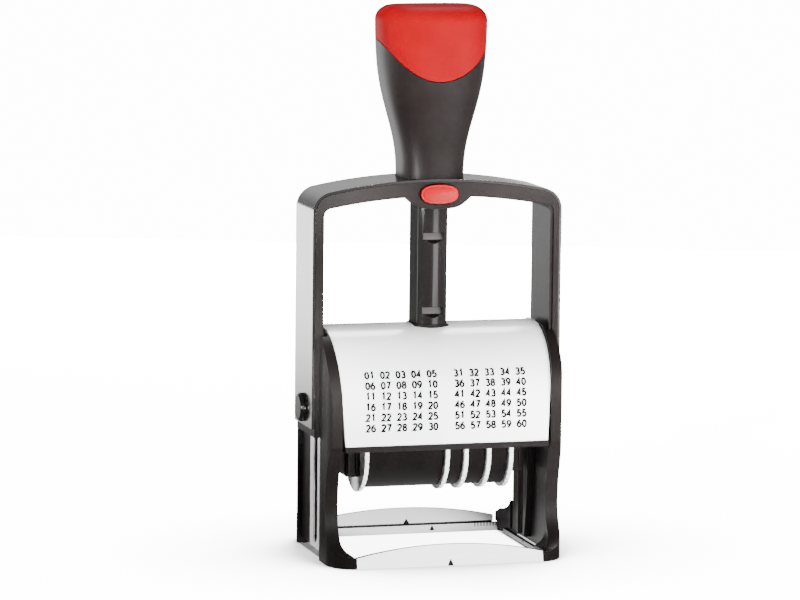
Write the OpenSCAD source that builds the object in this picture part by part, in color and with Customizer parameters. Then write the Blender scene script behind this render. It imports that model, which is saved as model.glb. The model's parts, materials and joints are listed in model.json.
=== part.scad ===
// Self-inking word-and-date stamp: a sprung bow with a grip drives a flipping print unit down to the paper.
// Units are millimetres. X is to the right, Y to the back and Z up. The origin is under the middle of the foot.

/* [Bow] */
// Depth of the bow from front to back
bow_depth = 20; // [14:0.5:28]
// Distance of the middle of the bow in front of the shaft axis
bow_offset = 0.4; // [0:0.1:1]
// Gap left between the arch of the bow and the cover at full travel
stop_gap = 3.7; // [3.5:0.1:10]
// Height of the arch of the bow above its window, at the middle
arch_t = 4.6; // [3.5:0.1:8]
// Distance of the lower end of the black legs below the flip pivot
leg_drop = 7.5; // [6:0.1:9]
// Distance of the lower end of the bright skin below the flip pivot
skin_drop = 5.1; // [4.4:0.1:7]
// Thickness of the bright skin
skin_t = 0.8; // [0.5:0.1:1.5]
// Distance of the front edge of the skin behind the front of the bow
skin_inset = 0.3; // [0:0.1:1]
// Wall of the black legs behind the front rim
leg_wall = 2.2; // [1.5:0.1:4]
// Radius of the crowned top of the bow
arch_r = 162; // [120:1:260]
// Radius that the flatter top of the window has over the crowned top of the bow
window_flat = 10; // [4:1:30]
// Radius of the two upper corners of the bow
bow_corner_r = 5.5; // [2:0.1:9]
// Radius of the two upper corners of the window
window_corner_r = 2.4; // [1:0.1:5]
// Width of the front rim of the bow
rim_w = 3.4; // [2.6:0.1:6]
// Depth of the front rim
rim_depth = 2; // [1:0.1:4]
// Distance that the rim hangs below the arch
rim_lip = 0.4; // [0:0.1:1]
// Depth of the step along the inner edge of the rim
rim_step = 0.6; // [0.2:0.1:1.2]
// Width of the step along the inner edge of the rim
rim_step_w = 0.9; // [0.4:0.1:1.6]
// Height of the neck of the bow under the grip
neck_h = 1.7; // [1:0.1:4]

/* [Travel] */
// Travel of the bow from rest to paper
press_travel = 34.8; // [28:0.1:40]
// Distance of the print face from the flip pivot
face_r = 8.6; // [7:0.1:11]
// Gap left between the print face and the rest plane at full travel
paper_gap = 0.1; // [0:0.05:0.5]
// Radius of the flip pivot pins
pivot_r = 2; // [1.4:0.1:2.4]
// Clearance between a pivot pin and the sides of its slot
slot_fit = 0.35; // [0.3:0.05:0.8]
// Radius of the black caps over the pivot pins
pivot_cap_r = 4.2; // [3.5:0.1:4.3]
// Thickness of the caps over the pivot pins
pivot_cap_t = 1.6; // [1:0.1:3]
// Step round the edge of the caps over the pivot pins
pivot_cap_edge = 0.5; // [0.2:0.1:0.8]
// Radial running clearance of the pins and the axle
run_fit = 0.05; // [0.02:0.01:0.1]
// Clearance between bodies that slide past each other
slide_fit = 0.4; // [0.3:0.05:0.8]

/* [Shaft and latch] */
// Width of the centre shaft
shaft_w = 8.9; // [7.5:0.1:10]
// Depth of the centre shaft
shaft_d = 11; // [9:0.1:14]
// Radius of the rounding across the corners of the shaft
shaft_round_r = 6.45; // [5.6:0.05:7.2]
// Radius of the rounded front of the shaft
shaft_front_r = 9; // [7:0.1:30]
// Radius of the spring bore in the shaft
bore_r = 3.2; // [2.6:0.1:3.6]
// Floor of the housing under the shaft
shaft_seat_t = 2.9; // [1:0.1:4]
// Floor of the shaft under the spring bore
shaft_floor_t = 9; // [8:0.5:20]
// Room left over the shaft at full travel
head_room = 2.2; // [1:0.1:4]
// Width of the collar of the housing round the shaft
collar_w = 0.6; // [0.4:0.1:1.5]
// Radius of the wire of the return spring
spring_wire_r = 0.45; // [0.3:0.05:0.6]
// Number of turns of the return spring
spring_turns = 15; // [10:1:18]
// Depth of the latch notches in the shaft
notch_depth = 1.4; // [1:0.1:1.6]
// Height of the latch notches
notch_h = 2.1; // [1.8:0.1:3]
// Width of the latch notches
notch_w = 6.2; // [5.8:0.1:7]
// Distance that the back of a latch notch leans in toward its top
notch_lean = 0.4; // [0:0.05:0.5]
// Radius of the lead-in scoop under a latch notch
scoop_r = 5; // [4.6:0.1:8]
// Width of the lead-in scoop where it meets its notch
scoop_w = 5.4; // [4:0.1:5.6]
// Height of the lead-in scoop
scoop_h = 1; // [0.8:0.1:1.4]
// Travel at which the half-way notch meets the latch
half_notch = 13; // [8:0.5:20]
// Height of the middle of the lock button above the arch of the window
button_lift = 0.3; // [0:0.1:0.6]
// Width of the lock button
button_w = 11.2; // [8:0.1:14]
// Height of the face of the lock button
button_face_h = 5.6; // [4:0.1:6]
// Thickness of the lock button
button_t = 2.2; // [1.6:0.1:3]
// Distance that the lock button stands out of the bow
button_proud = 1.6; // [1:0.1:2]
// Step round the edge of the lock button
button_edge = 0.5; // [0.2:0.1:0.8]
// Gap round the lock button
button_fit = 0.3; // [0.2:0.05:0.6]
// Travel of the lock button
button_travel = 2; // [1:0.1:2.2]
// Width of the boss round the lock button
boss_w = 20.4; // [16:0.2:26]
// Drop of the boss below the rim of the window
boss_drop = 3.65; // [3.2:0.05:4]
// Wall of the boss behind the lock button
boss_wall = 1; // [0.8:0.1:1.2]
// Width of the latch plate
latch_w = 5.2; // [4:0.1:5.6]
// Thickness of the latch plate
latch_t = 1.5; // [1:0.1:1.6]

/* [Grip] */
// Height of the grip above the bow
grip_h = 50; // [46:0.5:70]
// Greatest half width of the grip
grip_half_w = 16; // [14:0.1:20]
// Half width of the neck of the grip
neck_half_w = 9.2; // [8:0.1:12]
// Greatest half depth of the grip
grip_half_d = 12; // [10.5:0.1:16]
// Half depth of the neck of the grip
neck_half_d = 8.8; // [7.8:0.1:9.4]
// Share of the height of the grip at which it has swollen most of the way
swell_share = 0.45; // [0.3:0.01:0.6]
// Power of the swell, larger keeps the neck slim for longer
swell_power = 2.25; // [1.5:0.05:4]
// Height of the rounded top of the grip
grip_round_h = 4.6; // [2:0.1:8]
// Height of the cap above the lowest point of its front edge
cap_h = 22; // [16:0.5:26]
// Thickness of the cap over the shaft bore
cap_roof_t = 6.5; // [5:0.1:9]
// Curve of the lower edge of the cap, smaller is steeper
cap_edge_curve = 26; // [16:0.5:60]
// Rise of the lower edge of the cap toward the back
cap_edge_rise = 0.15; // [0:0.01:0.3]

/* [Foot] */
// Thickness of the front legs across the foot
front_leg_t = 3.8; // [3:0.1:6]
// Thickness of the back legs across the foot
back_leg_t = 3; // [2.6:0.1:5]
// Depth of the foot from front to back
foot_d = 54.4; // [52:0.2:60]
// Corner radius of the foot at the front
foot_front_r = 8.5; // [5:0.5:12]
// Corner radius of the foot at the back
foot_back_r = 10; // [5:0.5:12]
// Distance of the inner faces of the cheeks past the lower edge of the cover
cheek_gap = 1; // [0.6:0.1:2]
// Wall of the cheeks beside the top of the cover
cheek_wall = 0.55; // [0.5:0.05:1.5]
// Gap in front of the legs of the bow in their channels
channel_fit = 0.6; // [0.4:0.1:1]
// Room behind the legs of the bow in their channels
channel_room = 7.4; // [6:0.1:9]
// Height of the lower edge of the wall along a channel
wall_low_h = 1.7; // [1.4:0.1:2.4]
// Distance of the slim part of the front legs from the middle
leg_y = 17.4; // [15:0.2:19]
// Thickness of the flange at the back of a leg
flange_t = 1.4; // [1:0.1:2]
// Length of the slanted inner corner of the back legs
slant_l = 4; // [2:0.1:5]
// Width of the slanted inner corner of the back legs
slant_w = 1.2; // [0.6:0.1:1.3]
// Height of the front toes
toe_h = 2.9; // [2:0.1:3.3]
// Height of the inner edge of the back toes
back_toe_h = 4.6; // [4:0.1:6]
// Height of the back toes at their ends
back_tip_h = 6.7; // [5.5:0.1:8]
// Distance that the front toes reach in past the cheeks
toe_w = 3.1; // [2:0.1:4]
// Distance that the back toes reach in past the cheeks
back_toe_w = 2; // [1.4:0.1:3]
// Length along the foot over which a back toe turns in
toe_turn = 3.5; // [2:0.1:5]
// Radius of the fillet from a toe to its leg
toe_fillet = 4.6; // [3.4:0.1:6]
// Radius of the sweep from a front leg to its toe
toe_sweep = 13; // [11:0.5:13]
// Radius of the sweep from a back leg to its toe
back_sweep = 10.8; // [10:0.1:12]
// Height of the slimmest part of the front legs
waist_h = 16; // [15.6:0.1:20]
// Distance of the tops of the cheeks below the top of the cover
cheek_drop = 0.3; // [0:0.1:2]
// Distance that the cheeks stand proud of the cover
cheek_proud = 0.9; // [0.4:0.1:1.4]
// Height of the lower end of the pivot slot
slot_low_h = 3.3; // [2.4:0.1:4.5]
// Width of the steel guide strips
strip_w = 12; // [9:0.5:16]
// Thickness of the steel guide strips
strip_t = 0.5; // [0.3:0.1:0.8]
// Gap between the guide strips and the rim of the bow
strip_gap = 0.55; // [0.4:0.05:1]
// Steel of the guide strips past the upper end of the slot
strip_margin = 2.2; // [1:0.1:2.3]
// Gap of the slot in a cheek round the slot in its guide strip
slot_relief = 0.1; // [0.05:0.05:0.3]
// Gap between the ribs inside the cheeks and the room of the print unit
rib_room = 0.4; // [0.3:0.1:1]
// Width of the ribs inside the cheeks, beside the slot
rib_w = 3.5; // [2:0.1:5]
// Width of the ribs at their lower ends
rib_tip_w = 1.2; // [0.8:0.1:1.8]
// Height over which the ribs grow to their full width
rib_taper_h = 12; // [6:0.5:16]
// Height of the lower end of the ribs
rib_low_h = 3; // [2.4:0.1:6]
// Height of the top of the front positioning strip at its middle
front_strip_h = 6.2; // [5.8:0.1:8]
// Height of the top of the back positioning strip at its middle
back_strip_h = 7.8; // [6.5:0.1:10]
// Radius of the arched tops of the positioning strips
strip_arch_r = 128; // [120:1:240]
// Lean of the outer faces of the positioning strips
strip_lean = 1.5; // [0:0.1:2]
// Thickness of the upright plates of the positioning strips
plate_t = 1; // [0.8:0.1:1.5]
// Height of the bars along the positioning strips
bar_h = 2.5; // [1.5:0.1:2.6]
// Distance that the bars stand out of the plates
bar_t = 1; // [0.5:0.1:1.2]
// Height of the groove over a bar
groove_h = 0.4; // [0.2:0.1:0.6]
// Depth of the groove over a bar
groove_d = 0.6; // [0.2:0.1:0.7]
// Length of the ends of the back bar that lie under the back toes
bar_seat = 0.8; // [0.6:0.1:1.2]
// Gap between the ends of the back strip and the back toes
back_end_gap = 1; // [0.3:0.1:1.5]
// Gap between a strip and the toes that hold it
seat_fit = 0.3; // [0.1:0.05:0.4]
// Width of the centre mark on a positioning strip
mark_w = 1.6; // [1:0.1:3]
// Height of the centre mark on a positioning strip
mark_h = 2.2; // [1.2:0.1:3]
// Depth of the centre mark on a positioning strip
mark_depth = 0.5; // [0.2:0.1:0.7]
// Width of the bright rails along the cheeks
rail_w = 1.2; // [0.8:0.1:2]
// Height of the bright rails along the cheeks
rail_h = 1.3; // [0.8:0.1:2]
// Width of the notch at the middle of a rail
rail_notch = 1; // [0.5:0.1:2]

/* [Pad housing] */
// Height of the housing above the slot of the pad tray
roof_h = 9.8; // [7:0.1:12]
// Radius of the front sweep of the label cover
cover_r = 20.8; // [19:0.1:21.4]
// Distance of the middle of the front sweep in front of the shaft axis
cover_offset = 0.5; // [0.2:0.1:1]
// Distance of the lower front edge of the cover from the middle
cover_front = 22.2; // [21.4:0.1:24]
// Height of the label cover
cover_h = 32.5; // [28:0.1:34]
// Distance that the lower edge of the cover reaches past the pad tray
side_wall = 1; // [0.8:0.1:2]
// Distance that each side of the cover leans out toward its top
cover_taper = 1.9; // [0.5:0.1:2.4]
// Distance that the cover reaches behind the shaft axis
cover_back = 9; // [7:0.1:12]
// Thickness of the cover
cover_t = 1; // [0.6:0.1:1.6]
// Ledge of the housing past the sides of the cover
ledge_w = 0.2; // [0.1:0.05:0.3]
// Height of the front lip under the cover
lip_h = 1.7; // [1:0.1:3]
// Depth of the front lip behind the lower edge of the cover
lip_t = 2.8; // [2:0.1:4]
// Distance that the front lip stands out past the cover
lip_proud = 0.4; // [0.2:0.1:1]
// Wall of the housing
housing_wall = 2; // [1.2:0.1:2.5]
// Wall of the housing in front of the pad tray
slot_wall = 1.4; // [1:0.1:2]
// Gap round the pivot pins in the housing
pin_room = 1; // [0.5:0.1:2]
// Gap beside the arms in the housing
arm_room = 0.6; // [0.4:0.1:0.8]
// Gap between the print face and the ink pad
ink_gap = 0.3; // [0.2:0.05:0.6]
// Thickness of the ink pad
pad_t = 3; // [2:0.1:4]
// Distance that the ink pad stands out of its tray
pad_proud = 0.2; // [0.1:0.05:0.5]
// Gap round the ink pad
pad_fit = 0.4; // [0.2:0.05:0.8]
// Thickness of the plate of the pad tray
tray_t = 1.8; // [1.2:0.1:2.4]
// Distance that the pad tray reaches past the room of the print unit
tray_reach = 0.5; // [0.3:0.1:1]
// Width of the rim of the pad tray
tray_rim = 1.6; // [1:0.1:2.4]
// Depth of the pull at the back of the pad tray
pull_d = 2; // [1:0.1:3]
// Width of the pull at the back of the pad tray
pull_w = 24; // [14:0.5:40]
// Distance of the pull from the rim of the pad tray
pull_gap = 1.4; // [1:0.1:2]

/* [Print unit] */
// Drop of the wheel axle below the flip pivot
axle_drop = 13.5; // [12.8:0.1:15]
// Radius of the wheel axle
axle_r = 1.6; // [1:0.1:2.4]
// Radius of the finger discs
disc_r = 12; // [11:0.1:12.5]
// Thickness of the finger discs
disc_t = 1.2; // [0.8:0.1:1.4]
// Radius of the drums under the bands
drum_r = 9.1; // [7:0.1:9.4]
// Thickness of the bands
band_t = 1.6; // [1:0.1:1.6]
// Clearance between a drum and its band
band_fit = 0.1; // [0.05:0.05:0.3]
// Half depth of the print face
face_half = 4.8; // [4:0.1:6]
// Radius of the two edges of the print face
band_corner = 1.5; // [1:0.1:2]
// Radius of the inner corners of the bands
band_inner_corner = 0.4; // [0.2:0.1:0.8]
// Left end of the wheel set
set_left = -21.8; // [-22.2:0.1:-21]
// Width of the word band
word_band_w = 22.6; // [20:0.1:22.8]
// Width of the day band
day_band_w = 3.6; // [3:0.1:3.8]
// Width of the month band
month_band_w = 4.8; // [3:0.1:5]
// Width of the year band
year_band_w = 4.7; // [3:0.1:4.9]
// Clearance beside each band and each wheel
side_fit = 0.3; // [0.2:0.05:0.3]
// Thickness of the two arms
arm_t = 4; // [3:0.1:4.2]
// Half depth of the two arms
arm_half = 7; // [5:0.1:8]
// Distance that the arms reach below the wheel axle
arm_drop = 6.5; // [4:0.1:8]
// Distance that the lower part of an arm stands out past its upper part
arm_step = 1; // [0.4:0.1:1.5]
// Height of the lower part of an arm above the wheel axle
arm_foot_h = 0.7; // [0:0.1:2]
// Width of the ribs on the front of an arm
arm_rib_w = 1; // [0.6:0.1:1.2]
// Distance that the ribs stand out of an arm
arm_rib_t = 0.5; // [0.3:0.1:1]
// Width of the flange on the outside of the left arm
flange_w = 2.2; // [1:0.1:2.2]
// Distance that the flange reaches below the wheel axle
flange_drop = 5.4; // [3:0.1:6]
// Height of the print bridge above the flip pivot
bridge_gap = 1.4; // [1:0.1:2]
// Number of grooves round each finger disc
disc_grooves = 36; // [12:1:60]
// Radius of the grooves round the finger discs
groove_r = 0.4; // [0.2:0.05:0.5]

/* [Hidden] */
$fn = 64;
far = 60;
pivot_h = press_travel + face_r + paper_gap;
axle_h = pivot_h - axle_drop;
face_h = pivot_h + face_r;
pad_low_h = face_h + ink_gap;
tray_low_h = pad_low_h + pad_proud;
tray_top_h = pad_low_h + pad_t + tray_t;
slot_floor_h = tray_low_h - slide_fit;
slot_roof_h = tray_top_h + slide_fit;
cover_top_h = slot_roof_h + roof_h;
cover_low_h = cover_top_h - cover_h;
lip_low_h = cover_low_h - lip_h;
cheek_top_h = cover_top_h - cheek_drop;
window_top_h = cover_top_h + press_travel + stop_gap;
bow_top_h = window_top_h + arch_t;
frame_top_h = bow_top_h - skin_t;
grip_low_h = frame_top_h + neck_h;
grip_top_h = bow_top_h + grip_h;
grip_bore_top_h = grip_top_h - cap_roof_t;
cap_edge_h = grip_top_h - cap_h;
shaft_low_h = slot_roof_h + shaft_seat_t;
bore_floor_h = shaft_low_h + shaft_floor_t;
shaft_top_h = grip_bore_top_h - press_travel - head_room;
button_h = window_top_h + button_lift;
bow_front = -bow_depth / 2 - bow_offset;
bow_back = bow_depth / 2 - bow_offset;
bow_foot_h = pivot_h - leg_drop;
window_r = arch_r + window_flat;
channel_front = bow_front - channel_fit;
channel_back = bow_back + channel_room;
back_leg_y = channel_back + flange_t;
slant_y = back_leg_y - slant_l;
foot_end = foot_d / 2;
slot_half = pivot_r + slot_fit;
strip_top_h = pivot_h + slot_half + strip_margin;
grip_sides = 44;
neck_power_w = 2.4;
neck_power_d = 4.6;
latch_tip = shaft_d / 2 + button_travel / 2;
button_front = button_proud - bow_front;
button_back = button_front - button_t;
button_seat = button_back - button_travel - slide_fit;
boss_back = button_seat - boss_wall;
spring_coil_r = bore_r - spring_wire_r - slide_fit;
spring_low = bore_floor_h + spring_wire_r;
spring_high = grip_bore_top_h - spring_wire_r - slide_fit;
cover_mid_z = cover_top_h - cover_r;
cover_skirt_y = -cover_offset - cover_r;
housing_back = cover_r + cover_offset;
slot_rise = slot_roof_h - cover_mid_z;
tray_front = slot_wall + slide_fit - cover_offset - sqrt(pow(cover_r - cover_t, 2) - slot_rise * slot_rise);
tray_back = housing_back - pull_d - pull_gap - cover_t;
band_in_r = drum_r + band_fit;
band_out_r = band_in_r + band_t;
word_x = set_left + disc_t + side_fit;
word_disc_x = word_x + word_band_w + side_fit;
day_x = word_disc_x + disc_t + 2 * side_fit;
day_disc_x = day_x + day_band_w + side_fit;
month_x = day_disc_x + disc_t + 2 * side_fit;
month_disc_x = month_x + month_band_w + side_fit;
year_x = month_disc_x + disc_t + 2 * side_fit;
year_disc_x = year_x + year_band_w + side_fit;
set_right = year_disc_x + disc_t;
arm_left_x = set_left - side_fit - arm_t;
arm_right_x = set_right + side_fit;
arm_top_h = face_h - band_t - 1;
room_half = max(flange_w - arm_left_x, arm_right_x + arm_t) + arm_room;
tray_half = room_half + tray_reach;
cover_low_half = tray_half + side_wall;
cover_top_half = cover_low_half + cover_taper;
cheek_in = cover_low_half + cheek_gap;
channel_half = cover_top_half + ledge_w + cheek_wall;
rim_in = channel_half + strip_t + strip_gap;
skin_half = rim_in + rim_w;
frame_half = skin_half - skin_t;
wall_in = frame_half - leg_wall;
front_half = cheek_in + front_leg_t;
back_half = cheek_in + back_leg_t;
toe_in = cheek_in - toe_w;
back_toe_in = cheek_in - back_toe_w;
strip_half = toe_in - seat_fit;
back_strip_half = back_toe_in - back_end_gap;
back_bar_half = back_toe_in + bar_seat;
back_bar_y = foot_end - strip_lean - plate_t - bar_t;
black = [0.14, 0.13, 0.13];
red = [0.86, 0.17, 0.15];
bright = [0.83, 0.84, 0.85];
steel = [0.62, 0.63, 0.65];
white = [0.93, 0.93, 0.94];
pale = [0.88, 0.88, 0.88];
rubber = [0.17, 0.16, 0.16];
inked = [0.12, 0.12, 0.2];

// A flat shape drawn in Y and Z, pulled along X
module along_x(from, to) {
    translate([from, 0, 0])
        rotate([90, 0, 90])
            linear_extrude(to - from)
                children();
}

// A flat shape drawn in X and Z, pulled along Y
module along_y(from, to) {
    translate([0, to, 0])
        rotate([90, 0, 0])
            linear_extrude(to - from)
                children();
}

// A block from one corner to the opposite one
module block(low, high) {
    translate(low)
        cube(high - low);
}

// A round bar along X
module bar_x(from, to, r, y, z) {
    translate([from, y, z])
        rotate([0, 90, 0])
            cylinder(h = to - from, r = r);
}

// The outline of the bow: straight legs, round corners and a crowned top
module arch(half, low, top, crown, corner) {
    corner_z = top - crown + sqrt(pow(crown - corner, 2) - pow(half - corner, 2));
    touch = (half - corner) * crown / (crown - corner);
    translate([-half, low])
        square([2 * half, corner_z - low]);
    for (side = [-1, 1])
        translate([side * (half - corner), corner_z])
            circle(r = corner);
    intersection() {
        translate([0, top - crown])
            circle(r = crown, $fn = 256);
        translate([-touch, low])
            square([2 * touch, top - low + 1]);
    }
}

// A number raised to a power that squares off the sides of an oval, with its sign kept
function squared(v, n) = sign(v) * pow(abs(v), 2 / n);

// The points of a rounded oval whose sides are squared off by two powers
function oval_points(half_w, half_h, power_w, power_h, sides) = [for (k = [0:sides - 1])
    let (a = 360 * (k + 0.5) / sides) [half_w * squared(cos(a), power_w), half_h * squared(sin(a), power_h)]];

// An oval, a little fuller than an ellipse
module oval(half_w, half_h) {
    polygon(oval_points(half_w, half_h, 2.2, 2.2, 48));
}

// The section of the centre shaft, grown by a clearance
module shaft_section(grow) {
    intersection() {
        square([shaft_w + 2 * grow, shaft_d + 2 * grow], center = true);
        circle(r = shaft_round_r + grow);
        translate([0, shaft_front_r - shaft_d / 2])
            circle(r = shaft_front_r + grow);
    }
}

// The plan of the foot: wide at the front legs, slimmer at the back legs
module foot_plan() {
    union() {
        for (side = [-1, 1]) {
            translate([side * (front_half - foot_front_r), foot_front_r - foot_end])
                circle(r = foot_front_r);
            translate([side * (back_half - foot_back_r), foot_end - foot_back_r])
                circle(r = foot_back_r);
        }
        translate([-front_half, foot_front_r - foot_end])
            square([2 * front_half, channel_front + foot_end - foot_front_r]);
        translate([foot_front_r - front_half, -foot_end])
            square([2 * (front_half - foot_front_r), foot_end]);
        translate([-back_half, channel_front])
            square([2 * back_half, foot_end - foot_back_r - channel_front]);
        translate([foot_back_r - back_half, channel_front])
            square([2 * (back_half - foot_back_r), foot_end - channel_front]);
    }
}

// The height of the middle of the sweep from a leg edge to the end of its toe
function sweep_mid(edge, r, tip) = tip + sqrt(pow(r, 2) - pow(edge + r - foot_end, 2));

// The lower end of a leg, seen from the side: a toe that sweeps up into the leg, drawn for the back
module swept_toe(edge, r, tip) {
    mid_z = sweep_mid(edge, r, tip);
    difference() {
        square([foot_end, mid_z]);
        translate([edge + r, mid_z])
            circle(r = r);
    }
}

// The side outline of a cheek without its back toe: crowned top, waisted front leg and swept front toe
module cheek_side() {
    skirt = cover_skirt_y - cheek_proud;
    waist_rise = cover_low_h - waist_h;
    waist_in = -skirt - leg_y;
    waist_r = (pow(waist_rise, 2) + pow(waist_in, 2)) / (2 * waist_in);
    front_z = sweep_mid(leg_y, toe_sweep, toe_h);
    union() {
        mirror([1, 0])
            swept_toe(leg_y, toe_sweep, toe_h);
        translate([-leg_y, front_z])
            square([leg_y, waist_h - front_z]);
        translate([skirt, waist_h])
            difference() {
                square([-skirt, cover_mid_z - waist_h]);
                translate([-leg_y - waist_r - skirt, 0])
                    circle(r = waist_r, $fn = 128);
            }
        square([back_leg_y, cover_mid_z]);
        intersection() {
            translate([-cover_offset, cover_mid_z])
                circle(r = cover_r + cheek_proud, $fn = 128);
            translate([skirt, cover_mid_z])
                square([back_leg_y - skirt, cheek_top_h - cover_mid_z]);
        }
    }
}

// The front outline of a right-hand cheek: a straight inner face with a filleted toe
module cheek_front(toe_top, tip) {
    fillet_top = toe_top + toe_fillet;
    union() {
        translate([cheek_in, fillet_top])
            square([front_half - cheek_in, cheek_top_h + 1 - fillet_top]);
        difference() {
            translate([tip, 0])
                square([front_half - tip, fillet_top]);
            translate([cheek_in - toe_fillet, fillet_top])
                circle(r = toe_fillet);
        }
    }
}

// The tapered room between the cheeks that holds the pad housing
module housing_room(grow) {
    slope = (cover_top_half - cover_low_half) / cover_h;
    low = cover_low_half + grow - slope * lip_h;
    high = cover_top_half + grow + slope * 4;
    polygon([[-low, lip_low_h], [low, lip_low_h], [high, cover_top_h + 4], [-high, cover_top_h + 4]]);
}

// The slot that a pivot pin runs down
module pivot_slot(grow) {
    half = slot_half + grow;
    union() {
        for (z = [slot_low_h + slot_half, pivot_h])
            translate([0, z])
                circle(r = half);
        translate([-half, slot_low_h + slot_half])
            square([2 * half, pivot_h - slot_low_h - slot_half]);
    }
}

// The channel that a leg of the bow runs down, with the gap under the wall along it
module leg_channel() {
    block([channel_half, channel_front, -1], [far, channel_back, cheek_top_h + 1]);
    block([cheek_in - 1, channel_front, -1], [far, channel_back, wall_low_h]);
}

// The upright part of a cheek and its front toe, drawn for the right side
module cheek_upright() {
    intersection() {
        along_x(toe_in - 1, far)
            cheek_side();
        along_y(-foot_end - 1, foot_end)
            cheek_front(toe_h, toe_in);
        linear_extrude(far + cheek_top_h)
            difference() {
                foot_plan();
                polygon([[0, -leg_y], [cheek_in, -leg_y], [cheek_in, slant_y], [cheek_in + slant_w, back_leg_y],
                    [cheek_in + slant_w, foot_end], [0, foot_end]]);
            }
    }
}

// The back toe of a cheek, which turns in at its end, drawn for the right side
module back_toe() {
    turn_y = back_bar_y - toe_turn;
    intersection() {
        along_x(back_toe_in - 1, far)
            swept_toe(slant_y, back_sweep, back_tip_h);
        along_y(channel_back, foot_end + 1)
            cheek_front(back_toe_h, back_toe_in);
        linear_extrude(far)
            difference() {
                foot_plan();
                polygon([[0, 0], [cheek_in, 0], [cheek_in, turn_y], [back_toe_in, back_bar_y], [0, back_bar_y]]);
            }
    }
}

// A rib beside the pivot slot, drawn for the back
module slot_rib() {
    y = slot_half + slot_relief;
    along_x(room_half + rib_room, cheek_in)
        polygon([[y, rib_low_h], [y + rib_tip_w, rib_low_h], [y + rib_w, rib_low_h + rib_taper_h],
            [y + rib_w, lip_low_h], [y, lip_low_h]]);
}

// A cheek of the foot, drawn for the right side
module cheek() {
    difference() {
        union() {
            cheek_upright();
            back_toe();
        }
        leg_channel();
        block([0, back_bar_y - seat_fit, -1], [back_bar_half + seat_fit, foot_end + 1, bar_h + seat_fit]);
        along_y(-foot_d, foot_d)
            housing_room(ledge_w);
        along_x(0, far)
            pivot_slot(slot_relief);
    }
    slot_rib();
    mirror([0, 1, 0])
        slot_rib();
}

module left_cheek() {
    color(black)
        mirror([1, 0, 0])
            cheek();
}

module right_cheek() {
    color(black)
        cheek();
}

// A steel strip on the floor of a leg channel, with the slot for the pivot pin
module guide_strip() {
    color(steel)
        along_x(channel_half, channel_half + strip_t)
            difference() {
                translate([-strip_w / 2, wall_low_h])
                    square([strip_w, strip_top_h - wall_low_h]);
                pivot_slot(0);
            }
}

module left_guide_strip() {
    mirror([1, 0, 0])
        guide_strip();
}

module right_guide_strip() {
    guide_strip();
}

// A bright positioning strip between two toes, drawn for the front: a leaning plate over a grooved bar
module positioning_strip(top, half, bar_half) {
    plate_y = strip_lean + plate_t - foot_end;
    groove_y = plate_y - groove_d;
    bar_y = plate_y + bar_t;
    groove_top = bar_h + groove_h;
    color(bright)
        difference() {
            intersection() {
                union() {
                    along_x(-half, half)
                        polygon([[-foot_end, 0], [strip_lean - foot_end, top], [plate_y, top], [plate_y, groove_top],
                            [groove_y, groove_top], [groove_y, bar_h], [bar_y, bar_h], [bar_y, 0]]);
                    block([-bar_half, groove_y, 0], [bar_half, bar_y, bar_h]);
                }
                along_y(-foot_end - 1, 0)
                    translate([0, top - strip_arch_r])
                        circle(r = strip_arch_r, $fn = 360);
            }
            along_y(-foot_end - 1, mark_depth - foot_end)
                polygon([[-mark_w / 2, -1], [mark_w / 2, -1], [mark_w / 2, 0.3], [0, mark_h], [-mark_w / 2, 0.3]]);
        }
}

module front_strip() {
    positioning_strip(front_strip_h, strip_half, strip_half);
}

module back_strip() {
    mirror([0, 1, 0])
        positioning_strip(back_strip_h, back_strip_half, back_bar_half);
}

// A bright rail along the foot of a cheek, from its front toe to its back one, with a notch at the middle of the print
module rail() {
    turn_y = back_bar_y - toe_turn;
    color(bright)
        difference() {
            block([cheek_in - rail_w, -leg_y, 0], [cheek_in, turn_y, rail_h]);
            block([cheek_in - 2 * rail_w, -rail_notch / 2, 0.6 * rail_h], [cheek_in + 1, rail_notch / 2, 2 * rail_h]);
        }
}

module left_rail() {
    mirror([1, 0, 0])
        rail();
}

module right_rail() {
    rail();
}

// The domed upper part of the side outline of the pad housing, drawn in by a distance
module housing_dome(inset) {
    r = cover_r - inset;
    intersection() {
        union() {
            for (side = [-1, 1])
                translate([side * cover_offset, cover_mid_z])
                    circle(r = r, $fn = 128);
            translate([-cover_offset, cover_mid_z])
                square([2 * cover_offset, r]);
        }
        translate([-far, cover_mid_z])
            square([2 * far, r + 1]);
    }
}

// The lower part of the side outline of the pad housing, with the long front skirt
module housing_skirt(inset) {
    back = housing_back - inset;
    open_h = pivot_h - 1.5;
    polygon([[inset - housing_back, cover_mid_z], [back, cover_mid_z], [back, open_h],
        [0, open_h], [0, cover_low_h], [inset - cover_front, cover_low_h]]);
}

// The whole pad housing before it is hollowed
module housing_bulk(inset, half) {
    union() {
        along_x(-half, half)
            housing_dome(inset);
        along_x(-half, half)
            housing_skirt(inset);
    }
}

// The room inside the pad housing that the print unit flips in
module flip_room() {
    left = arm_left_x - flange_w - arm_room;
    right = arm_right_x + arm_t + arm_room;
    intersection() {
        block([left, lip_t - cover_front, 0], [right, housing_back - cover_t - housing_wall, slot_floor_h + 1]);
        union() {
            along_x(left - 1, right + 1)
                housing_dome(cover_t + housing_wall);
            block([left - 1, -far, 0], [right + 1, far, cover_mid_z]);
        }
    }
}

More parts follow.
